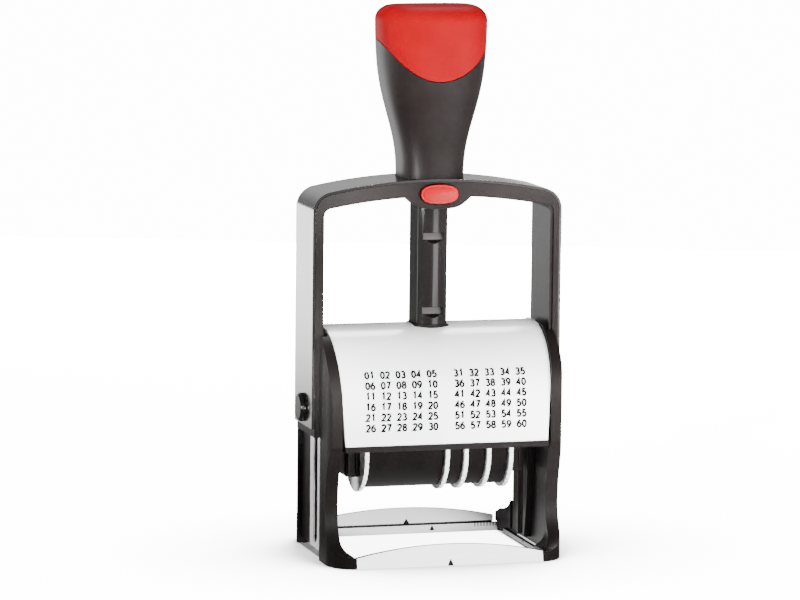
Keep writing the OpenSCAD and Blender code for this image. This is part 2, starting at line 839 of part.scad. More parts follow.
module pad_housing() {
    collar_top = cover_top_h - 0.1;
    pin_half = slot_half + pin_room;
    color(black)
        difference() {
            union() {
                intersection() {
                    union() {
                        housing_bulk(cover_t, far);
                        block([-far, -cover_front - lip_proud, lip_low_h], [far, lip_t - cover_front, cover_low_h]);
                    }
                    along_y(-far, far)
                        housing_room(ledge_w);
                }
                translate([0, 0, shaft_low_h])
                    linear_extrude(collar_top - shaft_low_h)
                        shaft_section(collar_w);
            }
            flip_room();
            block([-tray_half - slide_fit, tray_front - slide_fit, slot_floor_h],
                [tray_half + slide_fit, far, slot_roof_h]);
            translate([0, 0, shaft_low_h])
                linear_extrude(far)
                    shaft_section(0);
            for (side = [0, 1])
                mirror([side, 0, 0])
                    block([room_half - housing_wall, -pin_half, 0], [far, pin_half, pivot_h + pin_half]);
        }
}

// The white label cover over the front of the pad housing
module label_cover() {
    color(white)
        difference() {
            intersection() {
                housing_bulk(0, far);
                along_y(-far, far)
                    housing_room(0);
                block([-far, -far, cover_low_h], [far, cover_back, far + cover_top_h]);
            }
            housing_bulk(cover_t, far + 1);
            block([-far, -0.3 * cover_back, 0], [far, far, cover_mid_z + 0.3 * cover_r]);
            linear_extrude(far + cover_top_h)
                shaft_section(collar_w + seat_fit);
        }
}

// A latch notch with a leaning back and a lead-in scoop under it, cut from the front face of the shaft
module latch_notch() {
    half = notch_h / 2;
    scoop_disc_r = (pow(scoop_w / 2, 2) + pow(scoop_h, 2)) / (2 * scoop_h);
    scoop_out = sqrt(pow(scoop_r, 2) - pow(scoop_disc_r, 2));
    along_x(-notch_w / 2, notch_w / 2)
        polygon([[-shaft_d, -half], [notch_depth, -half], [notch_depth + notch_lean, half], [-shaft_d, half]]);
    intersection() {
        translate([0, -scoop_out, scoop_disc_r - scoop_h - half])
            sphere(r = scoop_r);
        block([-scoop_w, -shaft_d, -half - 2 * scoop_h], [scoop_w, shaft_d, -half]);
    }
}

// The hollow centre shaft with the latch notches in its front face
module shaft() {
    color(black)
        difference() {
            translate([0, 0, shaft_low_h])
                linear_extrude(shaft_top_h - shaft_low_h)
                    shaft_section(0);
            translate([0, 0, bore_floor_h])
                cylinder(h = shaft_top_h, r = bore_r);
            for (h = [button_h, button_h - half_notch, button_h - press_travel])
                translate([0, -shaft_d / 2, h])
                    latch_notch();
        }
}

// The return spring: one unbroken tube of rings that follow the coil
function spring_point(t) = [spring_coil_r * cos(360 * t * spring_turns), spring_coil_r * sin(360 * t * spring_turns),
    spring_low + (spring_high - spring_low) * t];
function spring_ring(t) = [for (k = [0:5]) let (a = 360 * t * spring_turns, c = spring_wire_r * cos(60 * k),
    s = spring_wire_r * sin(60 * k)) spring_point(t) + [c * cos(a), c * sin(a), s]];

module return_spring() {
    rings = 8 * spring_turns;
    points = [for (i = [0:rings]) each spring_ring(i / rings)];
    sides = [for (i = [0:rings - 1]) for (k = [0:5]) let (a = 6 * i + k, b = 6 * i + (k + 1) % 6)
        each [[a, a + 6, b + 6], [a, b + 6, b]]];
    low_end = [[for (k = [0:5]) k]];
    high_end = [[for (k = [5:-1:0]) 6 * rings + k]];
    echo(spring_gap = (spring_high - spring_low) / spring_turns - 2 * spring_wire_r);
    color(steel)
        polyhedron(points = points, faces = concat(sides, low_end, high_end), convexity = 10);
}

// The front outline of the boss round the lock button, with a full lower edge that runs out to its sides
module boss_outline() {
    half = boss_w / 2;
    rim_h = window_top_h - rim_lip;
    polygon(concat([for (t = [-0.96:0.08:0.96]) [half * t, rim_h - boss_drop * pow(1 - pow(t, 4), 1.5)]],
        [[0.96 * half, frame_top_h - skin_t], [-0.96 * half, frame_top_h - skin_t]]));
}

// The opening under the arch of the bow, without the boss
module bow_window() {
    difference() {
        union() {
            along_y(bow_front + rim_depth, bow_back + 1)
                union()
                    arch(wall_in, 0, window_top_h, window_r, window_corner_r);
            along_y(bow_front - 1, bow_front + rim_depth)
                union()
                    arch(rim_in, 0, window_top_h - rim_lip, window_r, window_corner_r);
        }
        along_y(bow_front - 2, -boss_back)
            boss_outline();
    }
}

// The section of the neck under the grip, grown by a clearance
module neck_section(grow) {
    polygon(oval_points(neck_half_w + grow, neck_half_d + grow, neck_power_w, neck_power_d, grip_sides));
}

// The black frame of the bow, with the rim, the boss, the neck and the guide hole for the shaft
module bow_frame() {
    latch_h = latch_t / 2 + seat_fit;
    color(black)
        difference() {
            union() {
                along_y(bow_front, bow_back)
                    union()
                        arch(frame_half, bow_foot_h, frame_top_h, arch_r, bow_corner_r);
                translate([0, 0, window_top_h + 1])
                    linear_extrude(grip_low_h - window_top_h - 1)
                        neck_section(0);
            }
            bow_window();
            difference() {
                along_y(bow_front - 1, bow_front + rim_step)
                    union()
                        arch(rim_in + rim_step_w, 0, window_top_h + 0.1, window_r, window_corner_r);
                along_y(bow_front - 2, bow_front + rim_depth)
                    boss_outline();
            }
            translate([0, 0, bow_foot_h])
                linear_extrude(grip_top_h)
                    shaft_section(slide_fit);
            along_y(bow_front - 1, -button_seat)
                translate([0, button_h])
                    oval(button_w / 2 + button_fit, button_face_h / 2 + button_fit);
            block([-latch_w / 2 - slide_fit, bow_front, button_h - latch_h],
                [latch_w / 2 + slide_fit, 0, button_h + latch_h]);
            bar_x(-far, far, pivot_r, 0, pivot_h);
        }
}

// The bright skin round the outside of the bow
module bow_skin() {
    color(bright)
        difference() {
            along_y(bow_front + skin_inset, bow_back)
                difference() {
                    arch(skin_half, pivot_h - skin_drop, bow_top_h, arch_r + skin_t, bow_corner_r + skin_t);
                    arch(frame_half, 0, frame_top_h, arch_r, bow_corner_r);
                }
            translate([0, 0, window_top_h])
                linear_extrude(far)
                    neck_section(0.1);
            bar_x(-far, far, pivot_r, 0, pivot_h);
        }
}

// The grip is lofted: a slim neck that swells to a full top with rounded edges
grip_body_rings = 14;
grip_top_rings = 5;
round_share = 1 - grip_round_h / (grip_top_h - grip_low_h);
grip_shares = concat([for (i = [0:grip_body_rings]) round_share * i / grip_body_rings],
    [for (i = [1:grip_top_rings]) round_share + (1 - round_share) * sin(90 * i / grip_top_rings)]);
function swell(s) = 1 - exp(-pow(s / swell_share, swell_power));
function rounding(s) = s <= round_share ? 0 : 1 - sqrt(max(0, 1 - pow((s - round_share) / (1 - round_share), 2)));
function fullness(s) = max(0, min(1, (s - 0.1) / 0.6));
function grip_wide(s) = (neck_half_w + (grip_half_w - neck_half_w) * swell(s)) * (1 - 0.3 * rounding(s));
function grip_deep(s) = (neck_half_d + (grip_half_d - neck_half_d) * swell(s)) * (1 - 0.6 * rounding(s));
function grip_section(s) = oval_points(grip_wide(s), grip_deep(s), neck_power_w + 0.6 * fullness(s),
    neck_power_d - 1.5 * fullness(s), grip_sides);
function grip_ring(s) = [for (p = grip_section(s)) [p[0], p[1], grip_low_h + (grip_top_h - grip_low_h) * s]];

module grip_solid() {
    rings = len(grip_shares);
    n = grip_sides;
    points = [for (s = grip_shares) each grip_ring(s)];
    sides = [for (i = [0:rings - 2]) for (k = [0:n - 1])
        [n * i + k, n * i + n + k, n * i + n + (k + 1) % n, n * i + (k + 1) % n]];
    low_end = [[for (k = [0:n - 1]) k]];
    high_end = [[for (k = [n - 1:-1:0]) n * (rings - 1) + k]];
    polyhedron(points = points, faces = concat(sides, low_end, high_end), convexity = 4);
}

// Everything above the curved joint between the grip and its cap
module above_cap_edge() {
    reach = 1.3 * grip_half_w;
    steps = 12;
    translate([0, -grip_half_d, cap_edge_h])
        rotate([atan(cap_edge_rise), 0, 0])
            along_y(-grip_half_d, far)
                polygon(concat([for (k = [-steps:steps]) let (x = reach * k / steps) [x, x * x / cap_edge_curve]],
                    [[reach, far], [-reach, far]]));
}

// The bore that the shaft rises into
module grip_bore() {
    translate([0, 0, grip_low_h - 1])
        linear_extrude(grip_bore_top_h - grip_low_h + 1)
            shaft_section(slide_fit);
}

module grip_body() {
    color(black)
        difference() {
            grip_solid();
            above_cap_edge();
            grip_bore();
        }
}

module grip_cap() {
    color(red)
        difference() {
            intersection() {
                grip_solid();
                above_cap_edge();
            }
            grip_bore();
        }
}

// A pivot pin from a leg of the bow into an arm
module left_pivot_pin() {
    color(steel)
        bar_x(-skin_half, arm_left_x + arm_t, pivot_r, 0, pivot_h);
}

module right_pivot_pin() {
    color(steel)
        bar_x(arm_right_x, skin_half, pivot_r, 0, pivot_h);
}

// A black cap over the outer end of a pivot pin
module pivot_cap() {
    color(black) {
        bar_x(skin_half, skin_half + pivot_cap_t - pivot_cap_edge, pivot_cap_r, 0, pivot_h);
        bar_x(skin_half, skin_half + pivot_cap_t, pivot_cap_r - pivot_cap_edge, 0, pivot_h);
    }
}

module left_pivot_cap() {
    mirror([1, 0, 0])
        pivot_cap();
}

module right_pivot_cap() {
    pivot_cap();
}

module lock_button() {
    color(red) {
        along_y(button_edge - button_front, -button_back)
            translate([0, button_h])
                oval(button_w / 2, button_face_h / 2);
        along_y(-button_front, button_edge - button_front)
            translate([0, button_h])
                oval(button_w / 2 - button_edge, button_face_h / 2 - button_edge);
    }
}

// The steel plate behind the button, whose tip enters the notches of the shaft
module latch_plate() {
    color(steel)
        block([-latch_w / 2, -button_back, button_h - latch_t / 2],
            [latch_w / 2, -latch_tip, button_h + latch_t / 2]);
}

// The side outline of an arm
module arm_side() {
    union() {
        translate([-arm_half, axle_h - arm_drop])
            square([2 * arm_half, arm_drop + arm_foot_h]);
        translate([arm_step - arm_half, axle_h + arm_foot_h])
            square([2 * (arm_half - arm_step), arm_top_h - axle_h - arm_foot_h]);
    }
}

module arm(from, flange) {
    color(black)
        difference() {
            union() {
                along_x(from, from + arm_t)
                    arm_side();
                for (x = [0.3 * arm_rib_w, arm_t - 1.3 * arm_rib_w])
                    block([from + x, -arm_half - arm_rib_t, axle_h - arm_drop + 1],
                        [from + x + arm_rib_w, arm_step - arm_half, axle_h + arm_drop]);
                block([from - flange, -arm_half + arm_step, axle_h - flange_drop],
                    [from + 1, arm_half - arm_step, pivot_h + flange_drop]);
            }
            bar_x(-far, far, pivot_r + run_fit, 0, pivot_h);
            bar_x(-far, far, axle_r, 0, axle_h);
        }
}

module left_arm() {
    arm(arm_left_x, flange_w);
}

module right_arm() {
    arm(arm_right_x, 0);
}

module print_bridge() {
    half = face_half - band_t - band_fit;
    color(black)
        block([arm_left_x + arm_t, -half, pivot_h + bridge_gap], [arm_right_x, half, face_h - band_t]);
}

module wheel_axle() {
    color(steel)
        bar_x(arm_left_x, arm_right_x + arm_t, axle_r, 0, axle_h);
}

// The outline of a band loop: round over the drum and narrow over the bridge
module band_outline(r, half, top, corner) {
    dy = half - corner;
    dz = top - corner - axle_h;
    span = sqrt(dy * dy + dz * dz);
    tilt = atan2(dz, dy) - acos((r - corner) / span);
    out = [cos(tilt), sin(tilt)];
    translate([0, axle_h])
        circle(r = r, $fn = 96);
    for (side = [-1, 1])
        translate([side * dy, top - corner])
            circle(r = corner);
    polygon([[0, axle_h], [r * out[0], axle_h + r * out[1]], [dy + corner * out[0], top - corner + corner * out[1]],
        [dy, top - corner], [dy, top], [-dy, top], [-dy, top - corner],
        [-dy - corner * out[0], top - corner + corner * out[1]], [-r * out[0], axle_h + r * out[1]]]);
}

module band(from, width) {
    color(rubber)
        along_x(from, from + width)
            difference() {
                band_outline(band_out_r, face_half, face_h, band_corner);
                band_outline(band_in_r, face_half - band_t, face_h - band_t, band_inner_corner);
            }
}

module word_band() {
    band(word_x, word_band_w);
}

module day_band() {
    band(day_x, day_band_w);
}

module month_band() {
    band(month_x, month_band_w);
}

module year_band() {
    band(year_x, year_band_w);
}

// A finger disc with grooves round its rim
module disc(from) {
    along_x(from, from + disc_t)
        translate([0, axle_h])
            difference() {
                circle(r = disc_r, $fn = 96);
                for (k = [1:disc_grooves])
                    rotate(360 * k / disc_grooves)
                        translate([disc_r + 0.4 * groove_r, 0])
                            circle(r = groove_r, $fn = 16);
            }
}

// A wheel: one drum and one or two finger discs on a bored hub
module wheel(from, to, discs) {
    color(pale)
        difference() {
            union() {
                bar_x(from, to, drum_r, 0, axle_h);
                for (x = discs)
                    disc(x);
            }
            bar_x(-far, far, axle_r + run_fit, 0, axle_h);
        }
}

module word_wheel() {
    wheel(set_left, word_disc_x + disc_t, [set_left, word_disc_x]);
}

module day_wheel() {
    wheel(day_x - side_fit, day_disc_x + disc_t, [day_disc_x]);
}

module month_wheel() {
    wheel(month_x - side_fit, month_disc_x + disc_t, [month_disc_x]);
}

module year_wheel() {
    wheel(year_x - side_fit, year_disc_x + disc_t, [year_disc_x]);
}

// The tray that carries the ink pad and draws out to the back
module pad_tray() {
    plate_back = tray_back + pull_gap + pull_d;
    plate_low = tray_top_h - tray_t;
    color(black)
        union() {
            difference() {
                block([-tray_half, tray_front, tray_low_h], [tray_half, tray_back, tray_top_h]);
                block([tray_rim - tray_half, tray_front + tray_rim, tray_low_h - 1],
                    [tray_half - tray_rim, tray_back - tray_rim, plate_low]);
            }
            block([-tray_half, tray_back, plate_low], [tray_half, plate_back, tray_top_h]);
            block([-pull_w / 2, plate_back - pull_d, plate_low - tray_rim], [pull_w / 2, plate_back, tray_top_h]);
        }
}

module ink_pad() {
    half = tray_half - tray_rim - pad_fit;
    color(inked)
        block([-half, tray_front + tray_rim + pad_fit, pad_low_h],
            [half, tray_back - tray_rim - pad_fit, tray_top_h - tray_t]);
}

left_cheek();
right_cheek();
left_guide_strip();
right_guide_strip();
front_strip();
back_strip();
left_rail();
right_rail();
pad_housing();
label_cover();
shaft();
return_spring();
bow_frame();
bow_skin();
grip_body();
grip_cap();
left_pivot_pin();
right_pivot_pin();
left_pivot_cap();
right_pivot_cap();
lock_button();
latch_plate();
left_arm();
right_arm();
print_bridge();
wheel_axle();
word_band();
day_band();
month_band();
year_band();
word_wheel();
day_wheel();
month_wheel();
year_wheel();
pad_tray();
ink_pad();
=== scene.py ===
import json
import math

import bmesh
import bpy
from mathutils import Matrix, Vector


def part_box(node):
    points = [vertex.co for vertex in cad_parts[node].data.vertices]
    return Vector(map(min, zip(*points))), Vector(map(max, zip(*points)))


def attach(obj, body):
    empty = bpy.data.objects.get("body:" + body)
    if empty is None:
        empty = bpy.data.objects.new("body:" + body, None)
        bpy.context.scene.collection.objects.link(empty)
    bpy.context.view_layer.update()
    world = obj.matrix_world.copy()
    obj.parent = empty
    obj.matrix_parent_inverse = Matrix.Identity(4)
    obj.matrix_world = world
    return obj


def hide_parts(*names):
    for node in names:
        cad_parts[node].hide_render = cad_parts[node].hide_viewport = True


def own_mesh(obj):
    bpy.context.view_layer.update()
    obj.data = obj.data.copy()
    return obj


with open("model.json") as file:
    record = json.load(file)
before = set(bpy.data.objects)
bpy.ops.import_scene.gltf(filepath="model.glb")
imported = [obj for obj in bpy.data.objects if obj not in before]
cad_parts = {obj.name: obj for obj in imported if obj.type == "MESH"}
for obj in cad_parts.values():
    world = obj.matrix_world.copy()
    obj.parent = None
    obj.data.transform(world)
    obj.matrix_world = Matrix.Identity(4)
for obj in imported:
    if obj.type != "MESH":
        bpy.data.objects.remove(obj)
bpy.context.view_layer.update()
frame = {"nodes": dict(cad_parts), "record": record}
MM = 0.001


# Node trees

def arithmetic(tree, operation, *values, kind="ShaderNodeMath"):
    """One step of a tree's arithmetic, on outputs or constants."""
    node = tree.nodes.new(kind)
    node.operation = operation
    for socket, value in zip(node.inputs, values):
        if isinstance(value, bpy.types.NodeSocket):
            tree.links.new(value, socket)
        else:
            socket.default_value = value
    return node.outputs["Value"]


def spread(tree, value, low, high, start, end, smooth=False):
    """A number that runs from low to high while another one runs from start to end."""
    node = tree.nodes.new("ShaderNodeMapRange")
    node.interpolation_type = "SMOOTHSTEP" if smooth else "LINEAR"
    node.inputs["From Min"].default_value = start
    node.inputs["From Max"].default_value = end
    node.inputs["To Min"].default_value = low
    node.inputs["To Max"].default_value = high
    tree.links.new(value, node.inputs["Value"])
    return node.outputs["Result"]


def axes_of(tree, vector):
    """The X, Y and Z of a vector."""
    node = tree.nodes.new("ShaderNodeSeparateXYZ")
    tree.links.new(vector, node.inputs["Vector"])
    return node.outputs


def own_place(tree):
    """Where a point is in its object's own frame."""
    return tree.nodes.new("ShaderNodeTexCoord").outputs["Object"]


def mixed_shader(tree, factor, first, second):
    """The first shader where a factor is nought, and the second where it is one."""
    node = tree.nodes.new("ShaderNodeMixShader")
    for socket, source in zip(node.inputs, (factor, first, second)):
        tree.links.new(source, socket)
    return node.outputs["Shader"]


# Materials

GRAIN_RANGE, GRAIN_DETAIL = (0.3, 0.7), 2.0
BLOTCH_RANGE, BLOTCH_DETAIL = (0.35, 0.65), 3.0
BUMP_STRENGTH = 0.6
# How far a face must look along the axis before it takes the painted shade
FACING_SHADE_RANGE = (0.5, 0.8)

# How much longer the grain is along X, Y and Z
EVEN, POLISHED_Z = (1, 1, 1), (1, 1, 10)
BRUSHED_X, BRUSHED_Y, BRUSHED_Z = (14, 1, 1), (1, 14, 1), (1, 1, 14)


def ramp(tree, value, low, high):
    """A colour that runs from low to high with a texture."""
    node = tree.nodes.new("ShaderNodeValToRGB")
    for stop, position, colour in zip(node.color_ramp.elements, BLOTCH_RANGE, (low, high)):
        stop.position = position
        stop.color = (*colour, 1)
    tree.links.new(value, node.inputs["Fac"])
    return node.outputs["Color"]


def noise(tree, size_mm, stretch, detail):
    """A noise whose blotches are about size_mm across, drawn out along an axis by stretch."""
    mapping = tree.nodes.new("ShaderNodeMapping")
    mapping.inputs["Scale"].default_value = [1 / longer for longer in stretch]
    texture = tree.nodes.new("ShaderNodeTexNoise")
    texture.inputs["Scale"].default_value = 1 / (size_mm * MM)
    texture.inputs["Detail"].default_value = detail
    tree.links.new(own_place(tree), mapping.inputs["Vector"])
    tree.links.new(mapping.outputs["Vector"], texture.inputs["Vector"])
    return texture.outputs["Fac"]


def finish(name, low, high, rough, grain_mm, relief_mm, blotch_mm=9.0, stretch=EVEN, **fixed):
    """A procedural finish: blotches of colour, and a fine grain that sets the relief and the roughness."""
    mat = bpy.data.materials.new(name)
    mat.use_nodes = True
    tree = mat.node_tree
    shader = tree.nodes["Principled BSDF"]
    grain = noise(tree, grain_mm, stretch, GRAIN_DETAIL)
    blotches = noise(tree, blotch_mm, stretch, BLOTCH_DETAIL)
    bump = tree.nodes.new("ShaderNodeBump")
    bump.inputs["Strength"].default_value = BUMP_STRENGTH
    bump.inputs["Distance"].default_value = relief_mm * MM
    tree.links.new(grain, bump.inputs["Height"])
    tree.links.new(ramp(tree, blotches, low, high), shader.inputs["Base Color"])
    tree.links.new(spread(tree, grain, *rough, *GRAIN_RANGE), shader.inputs["Roughness"])
    tree.links.new(bump.outputs["Normal"], shader.inputs["Normal"])
    for socket, value in fixed.items():
        shader.inputs[socket.replace("_", " ")].default_value = value
    return mat


def tint(mat, mask, colour):
    """Lays another colour over a finish where a mask is one."""
    tree = mat.node_tree
    socket = tree.nodes["Principled BSDF"].inputs["Base Color"]
    plain = socket.links[0].from_socket
    mix = tree.nodes.new("ShaderNodeMix")
    mix.data_type = "RGBA"
    mixed = [one for one in mix.outputs if one.type == "RGBA"][0]
    plain_in, tint_in = [one for one in mix.inputs if one.type == "RGBA"]
    tree.links.new(mask, mix.inputs["Factor"])
    tree.links.new(plain, plain_in)
    tint_in.default_value = (*colour, 1)
    tree.links.new(mixed, socket)


def matt_sides(mat, start_mm, end_mm, rough):
    """Makes a finish matt behind the front that slides: its roughness grows along Y."""
    tree = mat.node_tree
    socket = tree.nodes["Principled BSDF"].inputs["Roughness"]
    polished = socket.links[0].from_socket
    matt = spread(tree, axes_of(tree, own_place(tree))["Y"], 0, rough, start_mm * MM, end_mm * MM)
    tree.links.new(arithmetic(tree, "MAXIMUM", polished, matt), socket)


def painted_notch_highlight(mat, half_x_mm, middle_y_mm, half_y_mm, colour):
    """Lightens the backs of the latch notches, by their place on the shaft: a painted highlight."""
    tree = mat.node_tree
    axes = axes_of(tree, own_place(tree))
    in_x = arithmetic(tree, "COMPARE", axes["X"], 0, half_x_mm * MM)
    in_y = arithmetic(tree, "COMPARE", axes["Y"], middle_y_mm * MM, half_y_mm * MM)
    tint(mat, arithmetic(tree, "MULTIPLY", in_x, in_y), colour)


def painted_shade_on_facing(mat, axis, colour):
    """Darkens the faces of a sheet that look along an axis, its cut edges: painted shade."""
    tree = mat.node_tree
    normal = tree.nodes.new("ShaderNodeNewGeometry").outputs["Normal"]
    facing = arithmetic(tree, "ABSOLUTE", axes_of(tree, normal)[axis])
    tint(mat, spread(tree, facing, 0, 1, *FACING_SHADE_RANGE), colour)


black = finish("moulded_black", low=(0.0042, 0.0029, 0.0029), high=(0.0056, 0.004, 0.004),
               rough=(0.4, 0.5), grain_mm=0.3, relief_mm=0.012, Specular_IOR_Level=0.35)
grip_black = finish("grip_black", low=(0.0034, 0.0022, 0.0022), high=(0.0046, 0.0031, 0.0031),
                    rough=(0.38, 0.46), grain_mm=0.3, relief_mm=0.008, Specular_IOR_Level=0.4)
gloss_black = finish("gloss_black", low=(0.003, 0.0022, 0.0022), high=(0.004, 0.003, 0.003),
                     rough=(0.16, 0.22), grain_mm=0.5, relief_mm=0.003)
slide_black = finish("polished_black", low=(0.003, 0.0022, 0.0022), high=(0.004, 0.003, 0.003),
                     rough=(0.12, 0.17), grain_mm=1.2, relief_mm=0.001, stretch=POLISHED_Z)
matt_sides(slide_black, start_mm=-4.3, end_mm=-3.9, rough=0.75)
# A painted highlight on the backs of the shaft's latch notches.
painted_notch_highlight(slide_black, half_x_mm=3.2, middle_y_mm=-3.9, half_y_mm=0.36, colour=(0.034, 0.031, 0.03))
red = finish("moulded_red", low=(0.088, 0.0001, 0.0012), high=(0.098, 0.0002, 0.0016),
             rough=(0.4, 0.48), grain_mm=0.35, relief_mm=0.008, Specular_IOR_Level=0.03)
button_red = finish("button_red", low=(0.16, 0.0008, 0.003), high=(0.18, 0.001, 0.0036),
                    rough=(0.3, 0.36), grain_mm=0.35, relief_mm=0.006, Specular_IOR_Level=0.18)
chrome = finish("bright_plate", low=(0.8, 0.8, 0.81), high=(0.86, 0.86, 0.87),
                rough=(0.12, 0.2), grain_mm=0.25, relief_mm=0.002, stretch=BRUSHED_Z, Metallic=1.0)
# The plate's faces that look to the front and back carry painted shade.
painted_shade_on_facing(chrome, "Y", (0.085, 0.078, 0.077))
steel = finish("plain_steel", low=(0.74, 0.75, 0.76), high=(0.82, 0.83, 0.84),
               rough=(0.26, 0.34), grain_mm=0.3, relief_mm=0.002, stretch=BRUSHED_Z, Metallic=0.5)
dull_steel = finish("dull_steel", low=(0.3, 0.3, 0.31), high=(0.38, 0.38, 0.39),
                    rough=(0.34, 0.44), grain_mm=0.3, relief_mm=0.003, stretch=BRUSHED_Y, Metallic=1.0)
# The rails' faces that look up and down carry painted shade.
painted_shade_on_facing(dull_steel, "Z", (0.04, 0.04, 0.04))
strip_chrome = finish("strip_plate", low=(0.8, 0.8, 0.81), high=(0.86, 0.86, 0.87),
                      rough=(0.16, 0.24), grain_mm=0.25, relief_mm=0.002, stretch=BRUSHED_X, Metallic=1.0)
# The strips' faces that look up and down carry painted shade, a dark line along their arched tops.
painted_shade_on_facing(strip_chrome, "Z", (0.03, 0.03, 0.03))
white = finish("gloss_white", low=(0.86, 0.86, 0.87), high=(0.89, 0.89, 0.9),
               rough=(0.14, 0.2), grain_mm=0.6, relief_mm=0.004, Coat_Weight=0.3)
pale = finish("moulded_pale", low=(0.7, 0.7, 0.69), high=(0.76, 0.76, 0.75),
              rough=(0.34, 0.46), grain_mm=0.3, relief_mm=0.012)
rubber = finish("band_rubber", low=(0.0034, 0.0026, 0.0026), high=(0.0048, 0.0038, 0.0038),
                rough=(0.5, 0.65), grain_mm=0.25, relief_mm=0.02, Specular_IOR_Level=0.08)
felt = finish("inked_felt", low=(0.006, 0.006, 0.009), high=(0.016, 0.016, 0.022),
              rough=(0.7, 0.95), grain_mm=0.18, relief_mm=0.06, blotch_mm=3.0, Sheen_Weight=0.2)
# Black for the printing, and for a dark strip of painted shade in the back bar's groove.
print_and_shade_black = finish("print_and_painted_shade_black", low=(0.004, 0.004, 0.004), high=(0.006, 0.006, 0.006),
             rough=(0.5, 0.6), grain_mm=0.3, relief_mm=0.002, Specular_IOR_Level=0.2)

SLOT_FINISH = {"black_plastic": black, "red_plastic": red, "bright_metal": chrome, "steel": steel,
               "white_plastic": white, "pale_plastic": pale, "band_rubber": rubber, "ink_felt": felt}
NODE_FINISH = {"shaft": slide_black, "left_pivot_cap": gloss_black, "right_pivot_cap": gloss_black,
               "left_rail": dull_steel, "right_rail": dull_steel,
               "front_strip": strip_chrome, "back_strip": strip_chrome}

# How wide the edges of each CAD node are broken, in millimetres
EDGE_MM = {"bow_frame": 0.35, "bow_skin": 0.2, "left_cheek": 0.5, "right_cheek": 0.5,
           "pad_housing": 0.3, "label_cover": 0.2, "shaft": 0.25, "front_strip": 0.15,
           "back_strip": 0.15, "left_pivot_cap": 0.3, "right_pivot_cap": 0.3, "left_arm": 0.3,
           "right_arm": 0.3, "pad_tray": 0.25}
PLAIN_EDGE_MM, EDGE_STEPS = 0.12, 2
WELD_M, FLAT_DEG, SHARP_DEG, NORMAL_WEIGHT = 1e-6, 0.5, 35, 80

for part in frame["record"]["subparts"]:
    node = frame["nodes"][part["node"]]
    node.data.materials.clear()
    node.data.materials.append(NODE_FINISH.get(part["node"], SLOT_FINISH[part["material_slot"]]))
    for face in node.data.polygons:
        face.use_smooth = True
    weld = node.modifiers.new("weld", "WELD")
    weld.merge_threshold = WELD_M
    whole = node.modifiers.new("whole_faces", "DECIMATE")
    whole.decimate_type = "DISSOLVE"
    whole.angle_limit = math.radians(FLAT_DEG)
    bevel = node.modifiers.new("broken_edges", "BEVEL")
    bevel.width = EDGE_MM.get(part["node"], PLAIN_EDGE_MM) * MM
    bevel.segments = EDGE_STEPS
    bevel.limit_method = "ANGLE"
    bevel.angle_limit = math.radians(SHARP_DEG)
    normals = node.modifiers.new("flat_faces", "WEIGHTED_NORMAL")
    normals.weight = NORMAL_WEIGHT


# Pieces, worked out in millimetres

MERGE_M = 1e-7
CRISP_DEG, SHELL_CRISP_DEG = 40, 50
QUARTER_TURN = [math.pi / 8 * k for k in range(1, 5)]


def corners(node):
    """The lowest and highest corner of a CAD node."""
    return [Vector(corner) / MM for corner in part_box(node)]


def piece(name, points, faces, mat, body, slot):
    """A smooth mesh that rides on a CAD body."""
    mesh = bpy.data.meshes.new(name)
    mesh.from_pydata([Vector(point) * MM for point in points], [], faces)
    shape = bmesh.new()
    shape.from_mesh(mesh)
    bmesh.ops.remove_doubles(shape, verts=shape.verts, dist=MERGE_M)
    bmesh.ops.recalc_face_normals(shape, faces=shape.faces)
    shape.to_mesh(mesh)
    shape.free()
    mesh.materials.append(mat)
    for face in mesh.polygons:
        face.use_smooth = True
    made = bpy.data.objects.new(name, mesh)
    bpy.context.scene.collection.objects.link(made)
    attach(made, body)
    return made


def crisp(made, angle=CRISP_DEG):
    """Keeps the flat faces of a piece flat where they meet at more than an angle."""
    edges = made.modifiers.new("crisp_edges", "EDGE_SPLIT")
    edges.split_angle = math.radians(angle)


def loft(rings, ends=True):
    """The points and faces of a skin over rings of equally many points.

    Without ends, the last ring joins the first.
    """
    count = len(rings[0])
    links = list(zip(range(len(rings) - 1), range(1, len(rings))))
    if not ends:
        links.append((len(rings) - 1, 0))
    faces = [(a * count + k, a * count + (k + 1) % count, b * count + (k + 1) % count, b * count + k)
             for a, b in links for k in range(count)]
    if ends:
        faces.append(tuple(range(count)))
        faces.append(tuple(range((len(rings) - 1) * count, len(rings) * count)))
    return [point for ring in rings for point in ring], faces


def gathered(parts):
    """Several sets of points and faces as one."""
    points, faces = [], []
    for some_points, some_faces in parts:
        faces += [tuple(index + len(points) for index in face) for face in some_faces]
        points += some_points
    return points, faces


def even_turns(count):
    """The angles of points spaced evenly round a ring, half a step off the axes."""
    return [math.tau * (k + 0.5) / count for k in range(count)]


def power(value, exponent):
    """A power that keeps the sign."""
    return math.copysign(abs(value) ** exponent, value)


def clip(value, low=0.0, high=1.0):
    """The nearest number between two limits."""
    return min(max(value, low), high)


# The grip: a body and a cap of one swelling loft, parted along the cap's curved lower edge

GRIP_LOW = corners("grip_body")[0].z
GRIP_TOP = corners("grip_cap")[1].z
GRIP_HEIGHT = GRIP_TOP - GRIP_LOW
GRIP_SIDES, BODY_RINGS, CAP_RINGS = 128, 44, 26

# Half widths at the foot, what the swell adds, where and how fast it comes, and the rounded top
FOOT_HALF_X, FOOT_HALF_Y = 9.2, 8.8
SWELL_X, SWELL_Y, SWELL_AT, SWELL_POWER = 6.8, 3.2, 0.45, 2.25
GRIP_ROUND, TOP_DRAW_X, TOP_DRAW_Y = 4.6, 0.3, 0.6
TOP_SHARES = (0.94, 0.7, 0.35)

# How square the section is at the foot, how that changes, and the share of the height where it does
SQUARE_X, SQUARE_Y, CHANGE_X, CHANGE_Y = 2.4, 4.6, 0.6, -1.5
CHANGE_FROM, CHANGE_OVER = 0.1, 0.6

